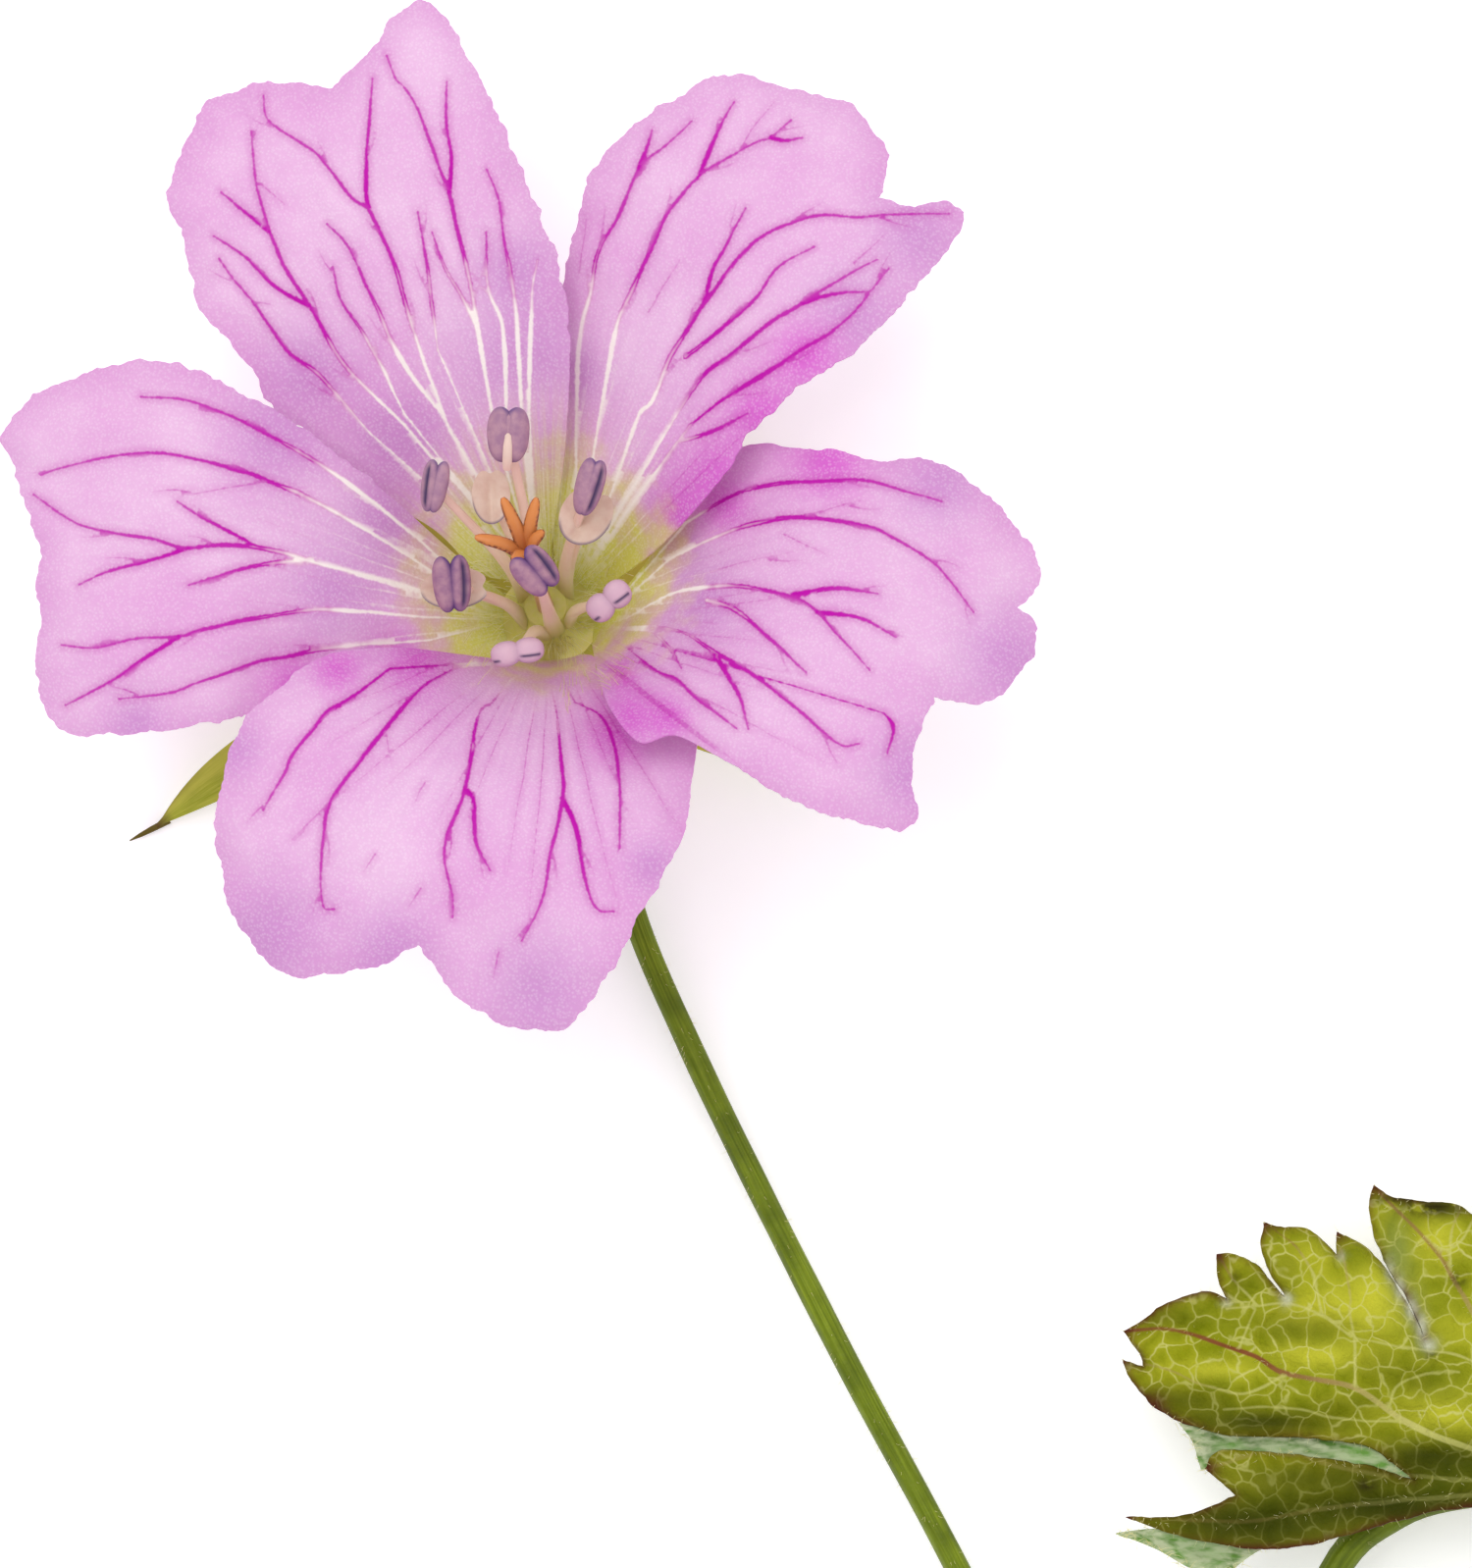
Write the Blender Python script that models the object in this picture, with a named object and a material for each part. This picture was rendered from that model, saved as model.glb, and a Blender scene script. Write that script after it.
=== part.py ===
"""A cut sprig of hardy geranium: one open flower on its stalk, and one leaf.

The sprig lies on a flat surface with the flower facing up. Lengths are in
millimetres until a mesh is made. The middle of the flower, where the petals
meet, is the reference point of every outline: x runs to the right, y away
from the stalk's lower end, and z up from the surface.
"""
import math

import bpy
import numpy as np
from mathutils import Matrix, Vector
from mathutils.geometry import delaunay_2d_cdt

MM = 0.001

# Where the middle of the flower stands, seen from the middle of the sprig
FLOWER_X = -17.15
FLOWER_Y = 18.405
FLOWER_Z = 5.9

# The flower leans away from its stalk, so that the far petals lie flatter
FLOWER_AXIS = Vector((-0.105, 0.330, 0.938)).normalized()

# Petals: a deep funnel that spreads into a flat limb
PETAL_THICKNESS = 0.6
FUNNEL_DEPTH = 10.0
FUNNEL_REACH = 6.2
PETAL_OVERLAP_LIFT = 1.05
PETAL_ARCH = 0.5
PETAL_REACH = 18.0
CLAW_RADIUS = 1.6
CLAW_HEIGHT = 0.35
CLAW_LENGTH = 4.0

# Calyx under the petals
RECEPTACLE_RADIUS = 1.3
RECEPTACLE_DEPTH = 2.0
RECEPTACLE_BELOW = 1.1
SEPAL_THICKNESS = 0.6
SEPAL_WIDTH = 3.4
SEPAL_TIP_WIDTH = 0.3
SEPAL_BOW = 0.4
SEPAL_CUP = 0.16
SEPAL_STEPS = 10

# Stamens and pistil inside the funnel
FILAMENT_ROOT_RADIUS = 0.28
FILAMENT_TIP_RADIUS = 0.24
FILAMENT_ROOT_AT = 0.86
STAMEN_RING_RADIUS = 1.05
STAMEN_RING_FROM = 0.62
STAMEN_RING_TO = 1.1
ANTHER_SIZE = (1.5, 0.95, 2.3)
OPENED_ANTHER_SIZE = (2.3, 0.7, 2.3)
ANTHER_LEAN = 78.0
STYLE_RADIUS = 0.30
STIGMA_RADIUS = 0.30

# Stalks
STALK_RADIUS = 0.43
STALK_FROM = -2.5
NODE_RADIUS = 1.15
NODE_LENGTH = 3.6
CUT_STEM_RADIUS = 0.95
PETIOLE_RADIUS = 0.62

# Leaf blade
LEAF_CENTRE = (37.2, -30.6)
LEAF_HEIGHT = 4.7
LEAF_SLOPE = 0.11
LEAF_DROOP = 2.6
LEAF_REACH = 17.0
LEAF_PLEAT = 0.085
PLEAT_FADE = 22.0
PLEAT_SPAN = 30.0
LEAF_THICKNESS = 0.6

# Mesh fineness
RIM_STEP = 0.85
BLADE_STEP = 1.25
LEAF_RIM_STEP = 0.7
HEIGHT_ROUNDS = 40


# Outlines, in millimetres from the middle of the flower, clockwise.
# A point with a third value is a corner: a notch, the tip of a lobe or the
# end of the narrow claw. The rest are joined by a smooth curve.

PETALS = {
    "petal_upper_left": {
        "bearings": (137.0, 87.0),
        "reflex": 0.6,
        "reflex_from": 13.0,
        "outline": [
            (-0.9, 1.5, 1), (-1.9, 2.3), (-3.4, 3.9), (-5.2, 5.1), (-7.9, 6.6), (-9.5, 7.2),
            (-11.1, 9.6), (-12.3, 11.1), (-13.0, 13.6), (-13.4, 15.0), (-12.8, 16.6),
            (-12.0, 18.2), (-10.2, 19.0), (-8.8, 18.9), (-7.7, 18.8, 1), (-6.5, 19.8),
            (-5.4, 21.2), (-4.5, 21.8, 1), (-3.7, 21.1), (-2.2, 18.6), (-1.0, 15.8),
            (0.4, 12.1), (0.7, 8.7), (0.5, 5.6), (0.1, 3.0), (0.0, 1.7, 1),
        ],
    },
    "petal_upper_right": {
        "bearings": (87.0, 38.0),
        "reflex": 1.0,
        "reflex_from": 13.0,
        "outline": [
            (0.5, 1.6, 1), (0.7, 3.0), (0.95, 5.2), (0.65, 7.8), (0.4, 11.4), (1.2, 14.9),
            (1.9, 16.3), (2.9, 17.3), (4.8, 18.6), (6.5, 19.0), (8.2, 18.7), (10.0, 18.3),
            (11.2, 17.6), (11.9, 16.1), (11.5, 14.7, 1), (12.6, 14.4), (13.8, 14.6),
            (14.6, 14.3, 1), (14.0, 13.0), (12.6, 11.4), (10.8, 9.4), (8.4, 7.8), (6.9, 6.3),
            (6.0, 4.9), (4.0, 2.7), (2.3, 1.4), (1.4, 0.9, 1),
        ],
    },
    "petal_right": {
        "bearings": (38.0, -50.0),
        "reflex": 4.2,
        "reflex_from": 8.0,
        "outline": [
            (1.6, 0.3, 1), (2.7, 0.7), (4.3, 2.0), (6.1, 4.4), (7.9, 5.5), (9.8, 5.9),
            (11.2, 5.6), (13.4, 5.5), (15.5, 4.1), (16.9, 2.4), (17.0, 1.1), (16.4, 0.4, 1),
            (17.0, -0.4), (16.6, -1.7), (15.2, -3.0), (13.4, -2.7, 1), (12.9, -4.2),
            (12.6, -5.8), (12.9, -7.0), (12.2, -7.4, 1), (10.1, -6.9), (8.4, -6.3),
            (6.3, -5.1), (4.5, -4.1), (3.2, -4.3), (2.2, -3.2), (1.75, -2.0), (1.5, -0.9, 1),
        ],
    },
    "petal_lower": {
        "bearings": (-50.0, -170.0),
        "reflex": 5.0,
        "reflex_from": 8.0,
        "outline": [
            (0.7, -1.4, 1), (0.9, -2.2), (1.8, -3.1), (3.5, -3.8), (4.4, -4.4), (4.1, -6.3),
            (3.6, -8.9), (2.7, -11.3), (1.6, -13.1), (0.8, -14.1), (-0.8, -14.3),
            (-2.0, -13.9), (-3.6, -12.6), (-4.5, -11.3, 1), (-5.7, -12.0), (-7.4, -12.3),
            (-9.0, -12.4), (-10.3, -11.4), (-11.3, -9.4), (-11.5, -6.8), (-10.7, -3.8),
            (-8.8, -1.9), (-7.4, -1.2), (-5.2, -1.0), (-2.6, -1.3), (-1.4, -1.4), (-0.6, -1.4, 1),
        ],
    },
    "petal_left": {
        "bearings": (-170.0, -223.0),
        "reflex": 2.6,
        "reflex_from": 10.0,
        "outline": [
            (-1.6, -0.9, 1), (-2.6, -1.4), (-4.5, -2.0), (-7.6, -2.3), (-10.2, -3.3),
            (-12.2, -3.7), (-14.4, -4.0), (-16.4, -4.0), (-17.5, -3.4), (-17.9, -1.8),
            (-17.8, 0.8), (-17.9, 2.5), (-18.5, 4.4), (-19.2, 6.1), (-19.2, 6.8), (-18.5, 7.6),
            (-16.9, 8.4), (-14.6, 9.0), (-12.4, 8.8), (-11.2, 8.1), (-9.2, 7.1), (-7.7, 6.0),
            (-6.7, 5.3), (-5.1, 3.9), (-3.1, 2.1), (-1.6, 0.9, 1),
        ],
    },
}

# Sepals: the bearing of each, how far its tip reaches and how high it ends
SEPALS = [
    (92.0, 11.2, 0.31),
    (48.0, 11.0, 1.2),
    (-26.0, 12.0, 1.4),
    (207.0, 15.2, 0.31),
    (146.0, 12.0, 1.2),
]

# Stamens: the anther's place beside the axis, its height along the axis,
# the filament's bulge away from the axis, the turn of the anther and
# whether the anther has opened flat
STAMENS = [
    (-0.45, 3.2, 9.2, 0.63, 0.0, False),
    (-3.1, 1.9, 8.0, 0.54, 20.0, False),
    (2.35, 1.8, 8.0, 0.54, -15.0, False),
    (-2.6, -1.3, 7.2, 0.54, 0.0, False),
    (0.5, -1.2, 9.0, 0.36, 35.0, False),
    (2.6, -1.1, 5.4, 0.54, -50.0, False),
    (-0.6, -2.7, 5.6, 0.54, 80.0, False),
    (-0.9, 2.2, 6.2, 0.45, 0.0, True),
    (2.2, 1.5, 5.5, 0.45, -30.0, True),
    (-2.6, -1.1, 5.3, 0.45, 70.0, True),
]

# Stigma branches: the tip's place beside the axis and its height
STYLE_FROM = 1.45
STYLE_TOP = 7.0
STIGMA_TIPS = [
    (-0.55, 1.1, 8.6),
    (0.55, 1.1, 8.6),
    (-1.55, 0.1, 8.0),
    (0.75, 0.1, 8.3),
    (-0.4, -0.75, 8.3),
]

# The flower stalk's way to the stem node, the cut stem beyond the node, and
# the leaf stalk's way from the node to the blade
FLOWER_STALK = [
    (1.1, -3.2, 1.9), (2.0, -6.6, 1.35), (3.05, -10.7, 1.2), (4.8, -14.8, 1.15),
    (7.1, -19.6, 1.1), (10.6, -26.5, 1.1), (14.1, -33.0, 1.1), (18.4, -41.5, 1.15),
    (22.4, -50.0, 1.2),
]
CUT_STEM = [(22.8, -50.8, 1.2), (24.6, -54.6, 1.0), (26.3, -58.4, 0.96)]
PETIOLE = [
    (22.8, -50.8, 1.2), (25.0, -43.5, 2.2), (27.4, -34.4, 2.6), (30.0, -31.6, 2.75),
    (33.4, -30.7, 3.3), (36.6, -30.6, 3.5),
]

# The leaf's outline, in millimetres from the middle of the flower, and the
# bearings of its main veins round the leaf's centre
LEAF_OUTLINE = [
    (36.0, -31.9, 1), (32.4, -31.3), (28.8, -32.1), (26.9, -32.6), (25.2, -32.8),
    (24.0, -32.7), (22.0, -32.3), (20.3, -31.7, 1), (22.4, -31.6), (24.2, -30.9, 1),
    (23.1, -30.0, 1), (23.6, -29.4), (25.4, -29.4), (28.6, -29.8), (30.5, -30.4, 1),
    (28.9, -29.2), (27.1, -28.9), (24.9, -28.8), (23.6, -28.7), (22.3, -28.3),
    (21.3, -27.8, 1), (20.5, -26.8), (20.2, -26.1, 1), (20.9, -26.3, 1), (20.8, -25.9),
    (20.2, -25.1, 1), (21.0, -24.7), (21.8, -24.1), (22.7, -23.8), (23.3, -23.7),
    (23.9, -24.0, 1), (23.6, -23.3), (23.5, -22.4, 1), (24.2, -22.4), (24.9, -22.7),
    (25.4, -23.3), (25.9, -23.9, 1), (25.3, -23.1), (25.1, -22.0), (25.2, -21.2, 1),
    (25.8, -21.4), (26.7, -21.5), (27.3, -21.9), (27.8, -22.4, 1), (27.8, -21.5, 1),
    (28.6, -22.1), (29.3, -22.7), (30.2, -24.1), (31.0, -25.6, 1), (31.0, -24.8),
    (30.2, -23.4), (29.4, -22.2), (29.1, -20.9), (29.1, -19.9, 1), (29.7, -20.3),
    (30.6, -20.5), (31.9, -20.6), (32.6, -21.0, 1), (32.7, -20.0, 1), (33.9, -20.7),
    (34.6, -21.8, 1), (34.9, -21.0, 1), (35.7, -22.6), (36.0, -25.0, 1),
    (36.6, -22.6), (37.2, -21.2, 1), (37.7, -21.6, 1), (38.0, -19.6, 1), (38.8, -20.3),
    (39.6, -20.4, 1), (40.8, -18.2, 1), (41.3, -20.0), (42.4, -20.9, 1), (43.6, -20.6, 1),
    (43.4, -22.2), (42.2, -24.4), (41.4, -27.0, 1),
    (43.4, -25.4), (45.6, -24.5, 1), (46.6, -22.9, 1), (47.4, -23.9), (48.9, -24.0, 1),
    (50.4, -22.6, 1), (50.5, -24.2), (51.6, -25.0, 1), (53.6, -24.6, 1), (52.6, -26.2),
    (52.3, -27.4, 1), (53.4, -28.2, 1), (50.6, -29.0), (46.8, -29.6), (42.6, -30.4, 1),
    (46.0, -30.8), (48.4, -31.4, 1), (50.4, -31.2, 1), (49.8, -32.4, 1), (51.4, -33.6, 1),
    (49.4, -34.0), (48.4, -34.6, 1), (48.6, -36.0, 1), (46.0, -35.4), (42.4, -33.6),
    (38.6, -31.9, 1),
]
LEAF_VEINS = [184.0, 162.0, 127.0, 80.0, 26.0, -17.0]


def material(name, colour, roughness):
    """A plain Principled material in the part's own colour."""
    mat = bpy.data.materials.new(name)
    mat.use_nodes = True
    shader = mat.node_tree.nodes["Principled BSDF"]
    shader.inputs["Base Color"].default_value = (*colour, 1.0)
    shader.inputs["Roughness"].default_value = roughness
    shader.inputs["Metallic"].default_value = 0.0
    return mat


def smooth_outline(points, step):
    """The closed outline through the points: curves between its corners."""
    count = len(points)
    corners = [i for i, point in enumerate(points) if len(point) == 3]
    outline = []
    for first, last in zip(corners, corners[1:] + [corners[0] + count]):
        run = [np.array(points[i % count][:2], float) for i in range(first, last + 1)]
        run = [2.0 * run[0] - run[1]] + run + [2.0 * run[-1] - run[-2]]
        for before, start, end, after in zip(run, run[1:], run[2:], run[3:]):
            pieces = max(1, round(float(np.linalg.norm(end - start)) / step))
            for t in np.arange(pieces) / pieces:
                outline.append(0.5 * (
                    2.0 * start + (end - before) * t
                    + (2.0 * before - 5.0 * start + 4.0 * end - after) * t ** 2
                    + (3.0 * start - before - 3.0 * end + after) * t ** 3))
    return np.array(outline)


def smooth_path(points, count):
    """Points read at even steps from a smooth curve through the given ones."""
    run = [Vector(point) for point in points]
    run = [2.0 * run[0] - run[1]] + run + [2.0 * run[-1] - run[-2]]
    spans = len(run) - 3
    path = []
    for i in range(count):
        place = i * spans / (count - 1)
        k = min(int(place), spans - 1)
        t = place - k
        before, start, end, after = run[k:k + 4]
        path.append(0.5 * (
            2.0 * start + (end - before) * t
            + (2.0 * before - 5.0 * start + 4.0 * end - after) * t ** 2
            + (3.0 * start - before - 3.0 * end + after) * t ** 3))
    return path


def inside(points, outline):
    """Which of the points lie inside the outline."""
    x, y = points[:, 0][:, None], points[:, 1][:, None]
    ax, ay = outline[:, 0], outline[:, 1]
    bx, by = np.roll(ax, -1), np.roll(ay, -1)
    crosses = (ay > y) != (by > y)
    rise = np.where(by == ay, 1.0, by - ay)
    return (crosses & (x < (bx - ax) * (y - ay) / rise + ax)).sum(axis=1) % 2 == 1


def rim_distance(points, outline):
    """How far each point lies from the outline."""
    a = outline
    b = np.roll(outline, -1, axis=0)
    along = b - a
    offset = points[:, None, :] - a[None]
    t = (offset * along).sum(2) / np.maximum((along ** 2).sum(1), 1e-12)
    nearest = a + np.clip(t, 0.0, 1.0)[..., None] * along
    return np.sqrt(((points[:, None, :] - nearest) ** 2).sum(2)).min(axis=1)


def make_object(name, points, faces, mat, smooth=True):
    """A named object from points in millimetres in the flower's frame."""
    mesh = bpy.data.meshes.new(name)
    mesh.from_pydata([tuple(float(v) * MM for v in p) for p in points], [], faces)
    mesh.update()
    if smooth:
        mesh.shade_smooth()
        mesh.set_sharp_from_angle(angle=math.radians(50.0))
    mesh.materials.append(mat)
    obj = bpy.data.objects.new(name, mesh)
    bpy.context.scene.collection.objects.link(obj)
    return obj


def blade(name, outline, height, thickness, step, mat):
    """A thin closed blade: its outline in plan, its height by a function."""
    low, high = outline.min(axis=0), outline.max(axis=0)
    row_gap = step * math.sqrt(3.0) / 2.0
    grid = []
    for row, y in enumerate(np.arange(low[1], high[1], row_gap)):
        shift = step / 2.0 if row % 2 else 0.0
        grid += [(x + shift, y) for x in np.arange(low[0], high[0], step)]
    grid = np.array(grid)
    grid = grid[inside(grid, outline)]
    grid = grid[rim_distance(grid, outline) > 0.55 * step]
    flat = [Vector(p) for p in np.vstack([outline, grid])]
    rim = list(range(len(outline)))
    flat, _, triangles, _, _, _ = delaunay_2d_cdt(flat, [], [rim], 1, 1e-6)
    plan = np.array([tuple(p) for p in flat])

    small = 0.02
    x, y = plan[:, 0], plan[:, 1]
    z = height(x, y)
    slope_x = (height(x + small, y) - height(x - small, y)) / (2.0 * small)
    slope_y = (height(x, y + small) - height(x, y - small)) / (2.0 * small)
    normal = np.stack([-slope_x, -slope_y, np.ones_like(z)], axis=1)
    normal /= np.linalg.norm(normal, axis=1)[:, None]
    middle = np.stack([x, y, z], axis=1)
    top = middle + normal * thickness / 2.0
    bottom = middle - normal * thickness / 2.0

    count = len(plan)
    faces = [tuple(t) for t in triangles]
    used = {}
    for a, b, c in faces:
        for edge in ((a, b), (b, c), (c, a)):
            used[edge] = True
    under = [tuple(count + i for i in reversed(t)) for t in faces]
    walls = []
    for a, b in used:
        if (b, a) not in used:
            walls += [(b, a, count + a), (b, count + a, count + b)]
    return make_object(name, np.vstack([top, bottom]), faces + under + walls, mat)


def ring_solid(name, rings, mat):
    """A closed solid skinned over rings of points, first to last."""
    sides = len(rings[0])
    points = [p for ring in rings for p in ring]
    faces = [tuple(reversed(range(sides)))]
    for k in range(len(rings) - 1):
        for i in range(sides):
            j = (i + 1) % sides
            a, b = k * sides + i, k * sides + j
            faces += [(a, b, b + sides), (a, b + sides, a + sides)]
    last = (len(rings) - 1) * sides
    faces.append(tuple(range(last, last + sides)))
    return make_object(name, points, faces, mat)


def tube(name, path, radii, sides, mat):
    """A round solid along a path, with a radius at each of its points."""
    rings = []
    side = None
    for k, centre in enumerate(path):
        ahead = path[min(k + 1, len(path) - 1)]
        behind = path[max(k - 1, 0)]
        along = (ahead - behind).normalized()
        if side is None:
            side = along.orthogonal().normalized()
        side = (side - along * side.dot(along)).normalized()
        up = along.cross(side)
        turns = [math.tau * i / sides for i in range(sides)]
        rings.append([centre + (side * math.cos(t) + up * math.sin(t)) * radii[k]
                      for t in turns])
    return ring_solid(name, rings, mat)


def ellipsoid(name, centre, size, turn, mat, sides=8, bands=5):
    """A closed egg shape with its own axes given by a rotation."""
    rings = []
    for k in range(1, bands + 1):
        tilt = math.pi * k / (bands + 1)
        radius, level = math.sin(tilt), -math.cos(tilt)
        rings.append([centre + turn @ Vector((
            size[0] / 2.0 * radius * math.cos(math.tau * i / sides),
            size[1] / 2.0 * radius * math.sin(math.tau * i / sides),
            size[2] / 2.0 * level)) for i in range(sides)])
    return ring_solid(name, rings, mat)


def fuse(name, pieces, mat):
    """One closed body from overlapping closed pieces."""
    others = bpy.data.collections.new(name + "_pieces")
    bpy.context.scene.collection.children.link(others)
    base = pieces[0]
    for piece in pieces[1:]:
        others.objects.link(piece)
    union = base.modifiers.new("Union", "BOOLEAN")
    union.operation = "UNION"
    union.solver = "EXACT"
    union.operand_type = "COLLECTION"
    union.collection = others
    bpy.context.view_layer.update()
    graph = bpy.context.evaluated_depsgraph_get()
    mesh = bpy.data.meshes.new_from_object(base.evaluated_get(graph))
    mesh.name = name
    mesh.materials.clear()
    mesh.materials.append(mat)
    for piece in pieces:
        bpy.data.objects.remove(piece)
    bpy.data.collections.remove(others)
    whole = bpy.data.objects.new(name, mesh)
    bpy.context.scene.collection.objects.link(whole)
    return whole


def flower_frame():
    """The turn from the flower's own axes to the sprig's."""
    right = Vector((0.0, 1.0, 0.0)).cross(FLOWER_AXIS).normalized()
    up = FLOWER_AXIS.cross(right).normalized()
    return Matrix((right, up, FLOWER_AXIS)).transposed()


TURN = flower_frame()


def in_flower(u, v, h):
    """A point given beside and along the flower's axis."""
    return Vector((0.0, 0.0, FLOWER_Z)) + TURN @ Vector((u, v, h))


def petal_height(petal):
    """The height of a petal over each point of its plan."""
    start, end = petal["bearings"]
    reflex, reflex_from = petal["reflex"], petal["reflex_from"]
    turn = np.array(TURN)
    plan_inverse = np.linalg.inv(turn[:2, :2])

    def height(x, y):
        x, y = np.asarray(x, float), np.asarray(y, float)
        bearing = np.degrees(np.arctan2(y, x))
        middle = (start + end) / 2.0
        bearing = middle + (bearing - middle + 180.0) % 360.0 - 180.0
        lateral = 2.0 * (start - bearing) / (start - end) - 1.0
        arch = PETAL_ARCH * np.clip(lateral, -1.0, 1.0) ** 2
        h = np.full_like(x, FUNNEL_DEPTH / 2.0)
        for _ in range(HEIGHT_ROUNDS):
            offset = np.stack([x - turn[0, 2] * h, y - turn[1, 2] * h])
            u, v = plan_inverse @ offset.reshape(2, -1)
            u, v = u.reshape(x.shape), v.reshape(x.shape)
            out = np.hypot(u, v)
            spread = 1.0 - np.exp(-np.maximum(out - CLAW_RADIUS, 0.0) / FUNNEL_REACH)
            beyond = np.maximum(out - reflex_from, 0.0) / (PETAL_REACH - reflex_from)
            near = np.clip((out - CLAW_RADIUS) / CLAW_LENGTH, 0.0, 1.0)
            aim = (CLAW_HEIGHT + FUNNEL_DEPTH * spread - reflex * beyond ** 2
                   + (PETAL_OVERLAP_LIFT * lateral - arch) * near)
            h = (h + aim) / 2.0
        return FLOWER_Z + turn[2, 0] * u + turn[2, 1] * v + turn[2, 2] * h

    return height


def leaf_height(x, y):
    """The leaf blade: pleated along its main veins, and drooping."""
    dx, dy = x - LEAF_CENTRE[0], y - LEAF_CENTRE[1]
    out = np.hypot(dx, dy)
    bearing = np.degrees(np.arctan2(dy, dx))
    away = np.full_like(out, 180.0)
    for vein in LEAF_VEINS:
        away = np.minimum(away, np.abs((bearing - vein + 180.0) % 360.0 - 180.0))
    pleat = 1.0 - np.cos(math.pi * np.clip(away / PLEAT_SPAN, 0.0, 1.0))
    lift = LEAF_PLEAT * out * pleat * np.exp(-out / PLEAT_FADE)
    droop = LEAF_DROOP * (out / LEAF_REACH) ** 2
    return LEAF_HEIGHT + lift - droop - LEAF_SLOPE * dx


def make_petals(mats):
    """Five notched petals, each lying over the next one clockwise."""
    for name, petal in PETALS.items():
        outline = smooth_outline(petal["outline"], RIM_STEP)[::-1]
        blade(name, outline, petal_height(petal), PETAL_THICKNESS, BLADE_STEP, mats["petal"])


def make_sepal(bearing, reach, tip_height, mat):
    """A pointed sepal that runs out from under the flower to its tip."""
    turn = math.radians(bearing)
    across = Vector((-math.sin(turn), math.cos(turn), 0.0))
    root = in_flower(0.0, 0.0, -RECEPTACLE_BELOW - 0.2)
    tip = Vector((math.cos(turn) * reach, math.sin(turn) * reach, tip_height))
    half = Vector((0.0, 0.0, SEPAL_THICKNESS / 2.0))
    rings = []
    for k in range(SEPAL_STEPS + 1):
        t = k / SEPAL_STEPS
        swell = 0.3 + 0.7 * math.sin(math.pi * (0.12 + 0.88 * t))
        width = max(SEPAL_WIDTH * swell * (1.0 - t ** 6), SEPAL_TIP_WIDTH)
        centre = root.lerp(tip, t)
        centre.z += SEPAL_BOW * math.sin(math.pi * t)
        side = across * width / 2.0
        cup = Vector((0.0, 0.0, SEPAL_CUP * width))
        rings.append([
            centre - side + cup - half, centre - half, centre + side + cup - half,
            centre + side + cup + half, centre + half, centre - side + cup + half,
        ])
    return ring_solid("sepal", rings, mat)


def make_calyx(mats):
    """The receptacle and the five sepals that grow from it."""
    core = ellipsoid("receptacle", in_flower(0.0, 0.0, -RECEPTACLE_BELOW),
                     (2.0 * RECEPTACLE_RADIUS, 2.0 * RECEPTACLE_RADIUS, RECEPTACLE_DEPTH),
                     TURN, mats["calyx"], sides=14, bands=7)
    sepals = [make_sepal(*sepal, mats["calyx"]) for sepal in SEPALS]
    return fuse("calyx", [core] + sepals, mats["calyx"])


def make_stamens(mats):
    """Ten stamens whose broad filaments join in a ring at their roots."""
    ring = [in_flower(0.0, 0.0, STAMEN_RING_FROM), in_flower(0.0, 0.0, STAMEN_RING_TO)]
    base = tube("stamen_ring", ring, [STAMEN_RING_RADIUS] * 2, 16, mats["stamens"])
    pieces = [base]
    for number, (u, v, h, bulge, turn, opened) in enumerate(STAMENS):
        away = Vector((u, v, 0.0)).normalized()
        root = away * FILAMENT_ROOT_AT
        bend = away * (FILAMENT_ROOT_AT + bulge)
        path = smooth_path([
            in_flower(root.x, root.y, (STAMEN_RING_FROM + STAMEN_RING_TO) / 2.0),
            in_flower(bend.x, bend.y, h / 2.0),
            in_flower(u, v, h)], 7)
        steps = len(path) - 1
        radii = [FILAMENT_ROOT_RADIUS + (FILAMENT_TIP_RADIUS - FILAMENT_ROOT_RADIUS) * k / steps
                 for k in range(steps + 1)]
        pieces.append(tube(f"filament_{number}", path, radii, 6, mats["stamens"]))
        size = OPENED_ANTHER_SIZE if opened else ANTHER_SIZE
        spin = Matrix.Rotation(math.radians(turn), 3, "Z")
        pose = TURN @ spin @ Matrix.Rotation(math.radians(ANTHER_LEAN), 3, "X")
        pieces.append(ellipsoid(f"anther_{number}", in_flower(u, v, h), size, pose,
                                mats["stamens"]))
    return fuse("stamens", pieces, mats["stamens"])


def make_pistil(mats):
    """The style's column with five stigma branches at its top."""
    foot = in_flower(0.0, 0.0, STYLE_FROM)
    top = in_flower(0.0, 0.0, STYLE_TOP)
    pieces = [tube("style", [foot, foot.lerp(top, 0.5), top], [STYLE_RADIUS] * 3, 8,
                   mats["pistil"])]
    for number, (u, v, h) in enumerate(STIGMA_TIPS):
        start = in_flower(0.0, 0.0, STYLE_TOP - STIGMA_RADIUS)
        tip = in_flower(u, v, h)
        pieces.append(tube(f"stigma_{number}", [start, start.lerp(tip, 0.6), tip],
                           [STIGMA_RADIUS, STIGMA_RADIUS, STIGMA_RADIUS * 0.7], 6,
                           mats["pistil"]))
    return fuse("pistil", pieces, mats["pistil"])


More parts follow.
